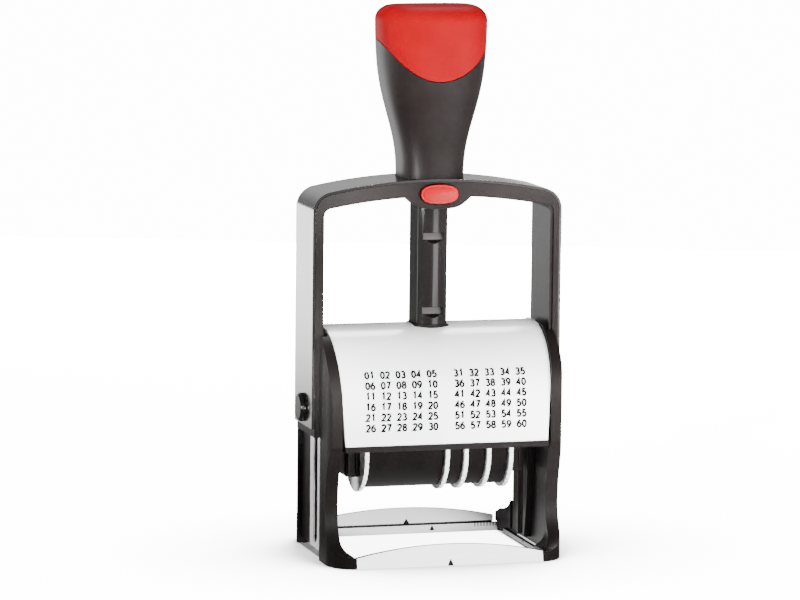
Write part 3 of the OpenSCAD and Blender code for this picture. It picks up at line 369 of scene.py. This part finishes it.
BORE_HALF_X, BORE_HALF_Y, BORE_TOP, BORE_POWER = 4.85, 5.9, 154.0, 0.3
EDGE_Y, EDGE_Z, EDGE_SLOPE, EDGE_RADIUS = -12.0, 138.5, math.atan(0.15), 13.0
SEAM_HALF, SEAM_DEPTH = 0.14, 0.3
SEAM_FLOOR = SEAM_HALF / 3
HALVINGS = 40


def grip_point(turn, z, inset=0.0):
    """A point on the grip's skin at a turn about its axis and a height."""
    share = clip((z - GRIP_LOW) / GRIP_HEIGHT)
    swell = 1 - math.exp(-(share / SWELL_AT) ** SWELL_POWER)
    start = 1 - GRIP_ROUND / GRIP_HEIGHT
    over = clip((share - start) / (1 - start))
    rounding = 1 - math.sqrt(1 - over * over)
    change = clip((share - CHANGE_FROM) / CHANGE_OVER)
    half_x = (FOOT_HALF_X + SWELL_X * swell) * (1 - TOP_DRAW_X * rounding) - inset
    half_y = (FOOT_HALF_Y + SWELL_Y * swell) * (1 - TOP_DRAW_Y * rounding) - inset
    return Vector((half_x * power(math.cos(turn), 2 / (SQUARE_X + CHANGE_X * change)),
                   half_y * power(math.sin(turn), 2 / (SQUARE_Y + CHANGE_Y * change)), z))


def above_edge(point):
    """How far a point lies above the cap's lower edge."""
    y, z = point.y - EDGE_Y, point.z - EDGE_Z
    return z * math.cos(EDGE_SLOPE) - y * math.sin(EDGE_SLOPE) - point.x ** 2 / (2 * EDGE_RADIUS)


def edge_height(column):
    """The height at which the points of a column cross the cap's lower edge."""
    low, high = GRIP_LOW, GRIP_TOP - GRIP_ROUND
    for _ in range(HALVINGS):
        middle = (low + high) / 2
        low, high = (low, middle) if above_edge(column(middle)) > 0 else (middle, high)
    return low


grip_turns = even_turns(GRIP_SIDES)
bore = [(BORE_HALF_X * power(math.cos(turn), BORE_POWER), BORE_HALF_Y * power(math.sin(turn), BORE_POWER))
        for turn in grip_turns]
edge = [edge_height(lambda z, turn=turn: grip_point(turn, z)) for turn in grip_turns]
bore_edge = [edge_height(lambda z, x=x, y=y: Vector((x, y, z))) for x, y in bore]


def grip_ring(heights, inset=0.0):
    """A ring on the grip's skin, with a height for each point."""
    return [grip_point(turn, z, inset) for turn, z in zip(grip_turns, heights)]


def bore_ring(heights):
    """A ring on the wall of the grip's bore, with a height for each point."""
    return [Vector((x, y, z)) for (x, y), z in zip(bore, heights)]


body_rings = [grip_ring([GRIP_LOW + (z - SEAM_HALF - GRIP_LOW) * step / BODY_RINGS for z in edge])
              for step in range(BODY_RINGS + 1)]
body_rings.append(grip_ring([z - SEAM_FLOOR for z in edge], SEAM_DEPTH))
body_rings.append(bore_ring([z - SEAM_FLOOR for z in bore_edge]))
body_rings.append(bore_ring([GRIP_LOW] * GRIP_SIDES))
grip_body = piece("grip_shell", *loft(body_rings, ends=False), grip_black, "bow", "black_plastic")
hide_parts("grip_body")

cap_rings = [bore_ring([BORE_TOP] * GRIP_SIDES)]
cap_rings.append(bore_ring([z + SEAM_FLOOR for z in bore_edge]))
cap_rings.append(grip_ring([z + SEAM_FLOOR for z in edge], SEAM_DEPTH))
for step in range(CAP_RINGS + 1):
    climb = math.sin(math.pi / 2 * step / CAP_RINGS)
    cap_rings.append(grip_ring([z + SEAM_HALF + (GRIP_TOP - z - SEAM_HALF) * climb for z in edge]))
cap_rings += [[Vector((point.x * share, point.y * share, GRIP_TOP)) for point in cap_rings[-1]]
              for share in TOP_SHARES]
grip_cap = piece("grip_crown", *loft(cap_rings), red, "bow", "red_plastic")
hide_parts("grip_cap")
for shell in (grip_body, grip_cap):
    crisp(shell, SHELL_CRISP_DEG)


# The lock button: a rim with a dome in it

button_low, button_high = corners("lock_button")
BUTTON_SIDES, BUTTON_POWER = 72, 0.8
RIM_W, RIM_STEP, RIM_ROUND, RIM_GROOVE = 0.7, 0.5, 0.25, 0.15
DOME_GAP, DOME_LIFT = 0.12, 0.05
DOME_INSET = RIM_W + DOME_GAP
DOME_SHARES = (0.96, 0.88, 0.75, 0.6, 0.45, 0.3, 0.15, 0.05)


def button_ring(y, inset, share=1.0):
    """One level of the button, as an oval drawn in by an inset and then by a share."""
    half_x = ((button_high.x - button_low.x) / 2 - inset) * share
    half_z = ((button_high.z - button_low.z) / 2 - inset) * share
    middle = (button_low.z + button_high.z) / 2
    return [Vector((half_x * power(math.cos(turn), BUTTON_POWER), y,
                    middle + half_z * power(math.sin(turn), BUTTON_POWER)))
            for turn in even_turns(BUTTON_SIDES)]


rim_y = button_low.y + RIM_STEP
dome_y = rim_y - DOME_LIFT
button_rings = [button_ring(button_high.y, 0), button_ring(rim_y + RIM_ROUND, 0)]
button_rings += [button_ring(rim_y + RIM_ROUND * (1 - math.sin(a)), RIM_ROUND * (1 - math.cos(a)))
                 for a in QUARTER_TURN]
button_rings += [button_ring(rim_y + RIM_GROOVE, RIM_W), button_ring(dome_y, DOME_INSET)]
button_rings += [button_ring(dome_y - (RIM_STEP - DOME_LIFT) * (1 - share ** 2), DOME_INSET, share)
                 for share in DOME_SHARES]
button = piece("lock_dome", *loft(button_rings), button_red, "lock", "red_plastic")
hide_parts("lock_button")


# The return spring: one wire with a closed turn at each end, built at one length here, though the real one
# shortens as the bow goes down

spring_low, spring_high = corners("return_spring")
COIL_TURNS, COIL_STEPS, WIRE_SIDES, WIRE = 15, 28, 10, 0.45
DEAD_PITCH = 2.1 * WIRE
coil_half = spring_high.x - WIRE
pitch = (spring_high.z - spring_low.z - 2 * WIRE - 2 * DEAD_PITCH) / (COIL_TURNS - 2)
wire_turns = [math.tau * k / WIRE_SIDES for k in range(WIRE_SIDES)]
coil_rings = []
for step in range(COIL_TURNS * COIL_STEPS + 1):
    turned = step / COIL_STEPS
    rise = (min(turned, 1) * DEAD_PITCH + clip(turned - 1, 0, COIL_TURNS - 2) * pitch
            + max(turned - COIL_TURNS + 1, 0) * DEAD_PITCH)
    around = Vector((math.cos(math.tau * turned), math.sin(math.tau * turned), 0))
    middle_z = spring_low.z + WIRE + rise
    coil_rings.append([
        around * (coil_half + WIRE * math.cos(a)) + Vector((0, 0, middle_z + WIRE * math.sin(a)))
        for a in wire_turns])
spring = piece("spring_wire", *loft(coil_rings), steel, "foot", "steel")
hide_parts("return_spring")
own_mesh(spring)


# The ink pad: felt with a crowned face and sides that pull in between its corners

pad_low, pad_high = corners("ink_pad")
PAD_SIDES, PAD_POWER, PAD_ROUND, PAD_PULL = 96, 0.16, 0.7, 0.35
PAD_CROWN, CROWN_POWER = 0.35, 4
BACK_SHARES = (0.05, 0.4, 0.75, 0.95, 1)
FACE_SHARES = (0.95, 0.85, 0.7, 0.5, 0.25, 0.05)
FACE_EDGE_TURN = [math.pi / 10 * k for k in range(6)]


def pad_ring(z, inset, share=1.0):
    """One level of the pad, as a rounded rectangle whose sides bow inward."""
    half_x = (pad_high.x - pad_low.x) / 2 - inset
    half_y = (pad_high.y - pad_low.y) / 2 - inset
    centre = (pad_low + pad_high) / 2
    ring = []
    for turn in even_turns(PAD_SIDES):
        x, y = power(math.cos(turn), PAD_POWER), power(math.sin(turn), PAD_POWER)
        ring.append(Vector((centre.x + share * x * (half_x - PAD_PULL * (1 - y * y)),
                            centre.y + share * y * (half_y - PAD_PULL * (1 - x * x)), z)))
    return ring


face_z = pad_low.z + PAD_CROWN
pad_rings = [pad_ring(pad_high.z, PAD_ROUND, share) for share in BACK_SHARES]
pad_rings += [pad_ring(pad_high.z - PAD_ROUND * (1 - math.cos(a)), PAD_ROUND * (1 - math.sin(a)))
              for a in QUARTER_TURN]
pad_rings += [pad_ring(face_z + PAD_ROUND * (1 - math.sin(a)), PAD_ROUND * (1 - math.cos(a)))
              for a in FACE_EDGE_TURN]
pad_rings += [pad_ring(pad_low.z + PAD_CROWN * share ** CROWN_POWER, PAD_ROUND, share)
              for share in FACE_SHARES]
felt_pad = piece("felt_pad", *loft(pad_rings), felt, "pad", "ink_felt")
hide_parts("ink_pad")


# Plain numbers on the label cover

# Shares of a digit's height, and the least cosine that a corner's mitre is worked out with
DIGIT_W, DIGIT_GAP, STROKE_W = 0.58, 0.26, 0.284
LEAST_MITRE = 0.45

ROWS, ROW_LENGTH, ROW_PITCH, ROW_TOP = 6, 5, 3.06, 8.75
COLUMN_MIDDLES = (-13.3, 13.4)
DIGIT_H, PRINT_DEPTH, PRINT_OUT = 1.85, 0.06, 0.05
COVER_Y, COVER_Z, COVER_R = -0.5, 46.6, 20.8
COVER_FRONT_Y = COVER_Y - COVER_R
SKIRT_LOW_Y, SKIRT_LOW_Z = -22.2, 34.9


def arc(x, y, half_x, half_y, start, end, steps=12):
    """Points along part of an ellipse, from one angle to another in degrees."""
    angles = [math.radians(start + (end - start) * k / steps) for k in range(steps + 1)]
    return [(x + half_x * math.cos(a), y + half_y * math.sin(a)) for a in angles]


# The strokes of each digit in a box one unit high
SIX = arc(0.58, 0.35, 0.56, 0.65, 100, 180, 6) + arc(0.29, 0.3, 0.27, 0.3, 180, 540, 18)
DIGIT_STROKES = {
    "0": [arc(0.29, 0.5, 0.27, 0.5, 90, 450, 20)],
    "1": [[(0.12, 0.82), (0.33, 1), (0.33, 0)]],
    "2": [arc(0.28, 0.73, 0.26, 0.27, 170, -35) + [(0.02, 0), (0.56, 0)]],
    "3": [arc(0.27, 0.755, 0.24, 0.245, 150, -90) + arc(0.27, 0.255, 0.28, 0.255, 90, -150)],
    "4": [[(0.43, 0), (0.43, 1), (0.01, 0.3), (0.57, 0.3)]],
    "5": [[(0.5, 1), (0.13, 1), (0.08, 0.56)] + arc(0.27, 0.31, 0.28, 0.31, 120, -150)],
    "6": [SIX],
    "7": [[(0.02, 1), (0.55, 1), (0.2, 0)]],
    "8": [arc(0.29, 0.76, 0.22, 0.24, -90, 270, 16), arc(0.29, 0.26, 0.27, 0.26, 90, 450, 18)],
    "9": [[(DIGIT_W - x, 1 - y) for x, y in SIX]],
}


def ribbon(path, width, depth):
    """A flat stroke of a width along a path, with a thickness: a closed mesh."""
    rails = []
    for k, (x, y) in enumerate(path):
        step_in = Vector((x, y)) - Vector(path[max(k - 1, 0)])
        step_out = Vector(path[min(k + 1, len(path) - 1)]) - Vector((x, y))
        ahead = (step_in.normalized() + step_out.normalized()).normalized()
        onward = (step_out if step_out.length else step_in).normalized()
        side = Vector((-ahead.y, ahead.x)) * (width / 2 / max(abs(ahead.dot(onward)), LEAST_MITRE))
        rails.append([Vector((x + side.x * way, y + side.y * way, out))
                      for way, out in ((1, 0), (-1, 0), (-1, depth), (1, depth))])
    return loft(rails)


def number_line(text, height, depth):
    """The points and faces of a line of digits of a height, centred, with a thickness."""
    advance = DIGIT_W + DIGIT_GAP
    parts = []
    for index, digit in enumerate(text):
        start = Vector((index * advance - len(text) * advance / 2, -0.5, 0))
        for path in DIGIT_STROKES.get(digit, []):
            points, faces = ribbon(path, STROKE_W, depth / height)
            parts.append(([(point + start) * height for point in points], faces))
    return gathered(parts)


def on_cover(point):
    """Lays a flat drawing on the cover: x across, y up along its front, z out of it."""
    x, along, out = point
    if along < 0:
        lean = Vector((0, SKIRT_LOW_Y - COVER_FRONT_Y, SKIRT_LOW_Z - COVER_Z)).normalized()
        outward = Vector((0, lean.z, -lean.y))
        return Vector((x, COVER_FRONT_Y, COVER_Z)) - along * lean + out * outward
    turn = along / COVER_R
    outward = Vector((0, -math.cos(turn), math.sin(turn)))
    return Vector((x, COVER_Y, COVER_Z)) + (COVER_R + out) * outward


lines = []
for column, middle_x in enumerate(COLUMN_MIDDLES):
    for row in range(ROWS):
        first = (column * ROWS + row) * ROW_LENGTH + 1
        row_text = " ".join("%02d" % (first + k) for k in range(ROW_LENGTH))
        row_place = Vector((middle_x, ROW_TOP - ROW_PITCH * row, PRINT_OUT))
        flat_points, row_faces = number_line(row_text, DIGIT_H, PRINT_DEPTH)
        lines.append(([on_cover(point + row_place) for point in flat_points], row_faces))
numbers = piece("label_numbers", *gathered(lines), print_and_shade_black, "foot", "black_plastic")
crisp(numbers)


# Marks on the back bar and the front strip, and a dark strip of painted shade in the back bar's groove

MARK_OUT = 0.05
TICKS, TICK_FIRST, TICK_PITCH, TICK_W, TICK_FOOT, TICK_TOP = 8, 22.3, 0.95, 0.3, 1.5, 2.6
BAR_MARK_X, BAR_MARK_W, BAR_MARK_FOOT, BAR_MARK_TOP = 9.0, 1.6, 0.8, 2.4
BAR_H, GROOVE_H, GROOVE_FACE_Y, GROOVE_SHADE_THICK, GROOVE_HALF = 2.5, 0.4, 25.3, 1.2, 27.9
GROOVE_TOP = BAR_H + GROOVE_H
PLATE_MARK_X, PLATE_MARK_W, PLATE_MARK_H, PLATE_FACE_Y = 1.2, 2.0, 1.6, 24.7
STRIP_MARK_DEPTH, STRIP_MARK_HALF = 0.5, 0.75
STRIP_MARK_FOOT, STRIP_MARK_SHOULDER, STRIP_MARK_TOP = 0.05, 0.3, 2.0


def front_mark_or_shade_strip(outline, face_y, thick=MARK_OUT):
    """The points and faces of a mark, or of a dark strip of painted shade, that stands out to the front,
    from its outline in x and z.
    """
    count = len(outline)
    points = [Vector((x, face_y - out, z)) for out in (0, thick) for x, z in outline]
    faces = [tuple(range(count)), tuple(range(count, 2 * count))]
    faces += [(k, (k + 1) % count, count + (k + 1) % count, count + k) for k in range(count)]
    return points, faces


def rectangle(left, right, foot, top):
    """The outline of an upright rectangle."""
    return [(left, foot), (right, foot), (right, top), (left, top)]


def pointer(x, width, foot, top):
    """The outline of a triangle that points up."""
    return [(x - width / 2, foot), (x + width / 2, foot), (x, top)]


bar_front = corners("back_strip")[0].y
tick_lefts = [TICK_FIRST + TICK_PITCH * k for k in range(TICKS)]
marks_and_shade = [front_mark_or_shade_strip(rectangle(x, x + TICK_W, TICK_FOOT, TICK_TOP), bar_front) for x in tick_lefts]
marks_and_shade.append(front_mark_or_shade_strip(pointer(BAR_MARK_X, BAR_MARK_W, BAR_MARK_FOOT, BAR_MARK_TOP), bar_front))
# A dark strip in the back of the bar's groove: painted shade.
marks_and_shade.append(front_mark_or_shade_strip(rectangle(-GROOVE_HALF, GROOVE_HALF, BAR_H, GROOVE_TOP), GROOVE_FACE_Y,
                        GROOVE_SHADE_THICK))
marks_and_shade.append(front_mark_or_shade_strip(pointer(PLATE_MARK_X, PLATE_MARK_W, GROOVE_TOP, GROOVE_TOP + PLATE_MARK_H),
                        PLATE_FACE_Y))
strip_mark = [(-STRIP_MARK_HALF, STRIP_MARK_FOOT), (STRIP_MARK_HALF, STRIP_MARK_FOOT),
              (STRIP_MARK_HALF, STRIP_MARK_SHOULDER), (0, STRIP_MARK_TOP),
              (-STRIP_MARK_HALF, STRIP_MARK_SHOULDER)]
marks_and_shade.append(front_mark_or_shade_strip(strip_mark, corners("front_strip")[0].y + STRIP_MARK_DEPTH))
bar_marks_and_groove_shade = piece("bar_marks_and_groove_shade", *gathered(marks_and_shade), print_and_shade_black, "foot", "black_plastic")
crisp(bar_marks_and_groove_shade)


# Light

WHITE = (1, 1, 1, 1)
BEAM_BLEND = 0.6


def aimed(name, lamp, place, aim, glossy):
    """Puts a lamp at a place, turned to a point and unseen by the camera."""
    holder = bpy.data.objects.new(name, lamp)
    holder.location = place
    holder.rotation_mode = "QUATERNION"
    holder.rotation_quaternion = (Vector(aim) - Vector(place)).to_track_quat("-Z", "Y")
    holder.visible_camera = False
    holder.visible_glossy = glossy
    bpy.context.scene.collection.objects.link(holder)


def card(name, place, aim, size, power_w, glossy=True):
    """A soft light that faces a point, and can be kept out of reflections."""
    lamp = bpy.data.lights.new(name, "AREA")
    lamp.shape = "RECTANGLE"
    lamp.size, lamp.size_y = size
    lamp.energy = power_w
    aimed(name, lamp, place, aim, glossy)


def spot(name, place, aim, cone_deg, power_w, soft, glossy=True):
    """A soft-edged beam on a point, which can be kept out of reflections."""
    lamp = bpy.data.lights.new(name, "SPOT")
    lamp.energy = power_w
    lamp.spot_size = math.radians(cone_deg)
    lamp.spot_blend = BEAM_BLEND
    lamp.shadow_soft_size = soft
    aimed(name, lamp, place, aim, glossy)


def studio_world(seen, around, panels):
    """A white surround for the eye, and for light and reflections a dim one with soft bright panels.

    A panel is a direction, the angles at which it starts and stops fading, and its strength.
    """
    world = bpy.data.worlds.new("studio")
    world.use_nodes = True
    tree = world.node_tree
    outward = tree.nodes.new("ShaderNodeTexCoord").outputs["Generated"]
    total = around
    for direction, inner, outer, strength in panels:
        facing = arithmetic(tree, "DOT_PRODUCT", outward, Vector(direction).normalized(),
                            kind="ShaderNodeVectorMath")
        fade_from, fade_to = math.cos(math.radians(outer)), math.cos(math.radians(inner))
        panel = spread(tree, facing, 0, strength, fade_from, fade_to, smooth=True)
        total = arithmetic(tree, "ADD", total, panel)
    surround = tree.nodes["Background"]
    surround.inputs["Color"].default_value = WHITE
    tree.links.new(total, surround.inputs["Strength"])
    backdrop = tree.nodes.new("ShaderNodeBackground")
    backdrop.inputs["Color"].default_value = WHITE
    backdrop.inputs["Strength"].default_value = seen
    to_eye = tree.nodes.new("ShaderNodeLightPath").outputs["Is Camera Ray"]
    mixed = mixed_shader(tree, to_eye, surround.outputs["Background"], backdrop.outputs["Background"])
    tree.links.new(mixed, tree.nodes["World Output"].inputs["Surface"])
    return world


BACK_TOP_PANEL = ((0.27, 0.57, 0.78), 7, 9.5, 15.88)
BACK_PANEL = ((0.2, 0.97, 0.13), 10, 30, 0.3)
FRONT_PANEL = ((0.26, -0.91, 0.31), 7, 15, 5.0)
bpy.context.scene.world = studio_world(seen=16, around=0.12,
                                       panels=[BACK_TOP_PANEL, BACK_PANEL, FRONT_PANEL])

card("key_card", place=(0.42, -0.62, 0.08), aim=(0, 0, 0.08), size=(0.5, 0.15), power_w=21, glossy=False)
card("floor_card", place=(0.24, -0.24, 0.002), aim=(0.24, -0.24, 1), size=(0.44, 0.38), power_w=12,
     glossy=False)
card("back_card", place=(0.25, 0.7, 0.07), aim=(0, 0, 0.07), size=(0.5, 0.14), power_w=28, glossy=False)
card("left_card", place=(-0.6, 0.05, 0.08), aim=(0, 0, 0.08), size=(0.3, 0.15), power_w=6, glossy=False)
card("stripe_card", place=(0.171, -0.384, 0.031), aim=(0, 0, 0.031), size=(0.15, 0.053), power_w=0.135)

FRONT_LEFT = (-0.3, -0.6, 0.06)
spot("grip_spot", place=(-0.34, -0.4, 0.42), aim=(0, 0, 0.152), cone_deg=9, power_w=170, soft=0.05,
     glossy=False)
spot("leg_spot", FRONT_LEFT, aim=(-0.0365, -0.011, 0.058), cone_deg=3, power_w=90, soft=0.02)
spot("arch_left_spot", FRONT_LEFT, aim=(-0.027, -0.012, 0.108), cone_deg=2.6, power_w=80, soft=0.01)
spot("arch_right_spot", FRONT_LEFT, aim=(0.025, -0.012, 0.108), cone_deg=2.4, power_w=55, soft=0.01)


# The floor, which shows white with a soft shade round the object, and dimmer in reflections

FLOOR_HALF = 9.0
FLOOR_SEEN, FLOOR_SHADED, SHADE_REACH, SHADE_RANGE = 14.0, 0.9, 0.07, (0.55, 1.0)
WINDOW_SEEN, WINDOW_HALF_X, WINDOW_HALF_Y, WINDOW_EDGE = 8.0, 0.0292, 0.0248, (0.98, 1.02)
UNDER_WALL_X, UNDER_WALL_HALF, UNDER_WALL_Y = 0.0318, 0.0022, 0.02

# What reflections see: strengths at the start and the end of a range in metres
MIRRORED_FAR, FAR_RANGE = (0.12, 0.8), (0.15, 0.7)
MIRRORED_BEHIND, BEHIND_RANGE, BEHIND = (0, 1.7), (0.2, 0.5), (-0.6, 0.8, 0)
MIRRORED_NEAR, NEAR_RANGE = (2.2, 0), (0.02, 0.042)


def floor_seen(tree, place):
    """How bright the camera sees the floor: shaded near the object, but light in the print window."""
    axes = axes_of(tree, place)
    across = arithmetic(tree, "ABSOLUTE", axes["X"])
    along = arithmetic(tree, "ABSOLUTE", axes["Y"])
    openness = tree.nodes.new("ShaderNodeAmbientOcclusion")
    openness.inputs["Distance"].default_value = SHADE_REACH
    shaded = spread(tree, openness.outputs["AO"], FLOOR_SHADED, FLOOR_SEEN, *SHADE_RANGE)
    from_middle = arithmetic(tree, "MAXIMUM", arithmetic(tree, "DIVIDE", across, WINDOW_HALF_X),
                             arithmetic(tree, "DIVIDE", along, WINDOW_HALF_Y))
    window = spread(tree, from_middle, WINDOW_SEEN, 0, *WINDOW_EDGE)
    # Under each cheek's wall the floor shows black to the camera: a painted shadow.
    from_wall = arithmetic(tree, "ABSOLUTE", arithmetic(tree, "SUBTRACT", across, UNDER_WALL_X))
    under_wall = arithmetic(tree, "MULTIPLY", arithmetic(tree, "LESS_THAN", from_wall, UNDER_WALL_HALF),
                            arithmetic(tree, "LESS_THAN", along, UNDER_WALL_Y))
    return arithmetic(tree, "MULTIPLY", arithmetic(tree, "MAXIMUM", shaded, window),
                      arithmetic(tree, "SUBTRACT", 1, under_wall))


def floor_mirrored(tree, place):
    """How bright reflections see the floor, by the distance from the object and to its back left."""
    away = arithmetic(tree, "LENGTH", place, kind="ShaderNodeVectorMath")
    behind = arithmetic(tree, "DOT_PRODUCT", place, BEHIND, kind="ShaderNodeVectorMath")
    total = arithmetic(tree, "ADD", spread(tree, away, *MIRRORED_FAR, *FAR_RANGE),
                       spread(tree, behind, *MIRRORED_BEHIND, *BEHIND_RANGE))
    return arithmetic(tree, "ADD", total, spread(tree, away, *MIRRORED_NEAR, *NEAR_RANGE))


def emission(tree, strength):
    """A glow of a strength."""
    node = tree.nodes.new("ShaderNodeEmission")
    tree.links.new(strength, node.inputs["Strength"])
    return node.outputs["Emission"]


pale_floor = finish("pale_floor", low=(0.78, 0.78, 0.78), high=(0.8, 0.8, 0.8),
                    rough=(0.7, 0.8), grain_mm=40, relief_mm=0.0)
floor_tree = pale_floor.node_tree
floor_place = own_place(floor_tree)
floor_rays = floor_tree.nodes.new("ShaderNodeLightPath").outputs
to_camera = arithmetic(floor_tree, "MULTIPLY", floor_seen(floor_tree, floor_place),
                       floor_rays["Is Camera Ray"])
lit_floor = floor_tree.nodes.new("ShaderNodeAddShader")
floor_tree.links.new(floor_tree.nodes["Principled BSDF"].outputs["BSDF"], lit_floor.inputs[0])
floor_tree.links.new(emission(floor_tree, to_camera), lit_floor.inputs[1])
floor_shader = mixed_shader(floor_tree, floor_rays["Is Glossy Ray"], lit_floor.outputs["Shader"],
                            emission(floor_tree, floor_mirrored(floor_tree, floor_place)))
floor_tree.links.new(floor_shader, floor_tree.nodes["Material Output"].inputs["Surface"])

floor_mesh = bpy.data.meshes.new("floor")
floor_mesh.from_pydata([(-FLOOR_HALF, -FLOOR_HALF, 0), (FLOOR_HALF, -FLOOR_HALF, 0),
                        (FLOOR_HALF, FLOOR_HALF, 0), (-FLOOR_HALF, FLOOR_HALF, 0)], [], [(0, 1, 2, 3)])
floor_mesh.materials.append(pale_floor)
floor = bpy.data.objects.new("floor", floor_mesh)
bpy.context.scene.collection.objects.link(floor)


# The camera, at the photograph's viewing angle

AZIMUTH, PITCH, ROLL = (math.radians(a) for a in (-15.79, 7.61, 0.62))
TARGET = Vector((-8.45, 0, 74.12)) * MM
DISTANCE = 1300 * MM
FOCAL_PIXELS, IMAGE_WIDTH, SENSOR_MM = 4452.86, 800, 36

level = math.cos(PITCH)
back = Vector((math.sin(AZIMUTH) * level, -math.cos(AZIMUTH) * level, math.sin(PITCH)))
right = (-back).cross(Vector((0, 0, 1))).normalized()
up = right.cross(-back)
rolled_right = math.cos(ROLL) * right + math.sin(ROLL) * up
rolled_up = math.cos(ROLL) * up - math.sin(ROLL) * right
turned_view = Matrix((rolled_right, rolled_up, back)).transposed().to_4x4()
camera_data = bpy.data.cameras.new("camera")
camera_data.sensor_width = SENSOR_MM
camera_data.lens = FOCAL_PIXELS / IMAGE_WIDTH * SENSOR_MM
camera = bpy.data.objects.new("camera", camera_data)
camera.matrix_world = Matrix.Translation(TARGET + back * DISTANCE) @ turned_view
bpy.context.scene.collection.objects.link(camera)
bpy.context.scene.camera = camera
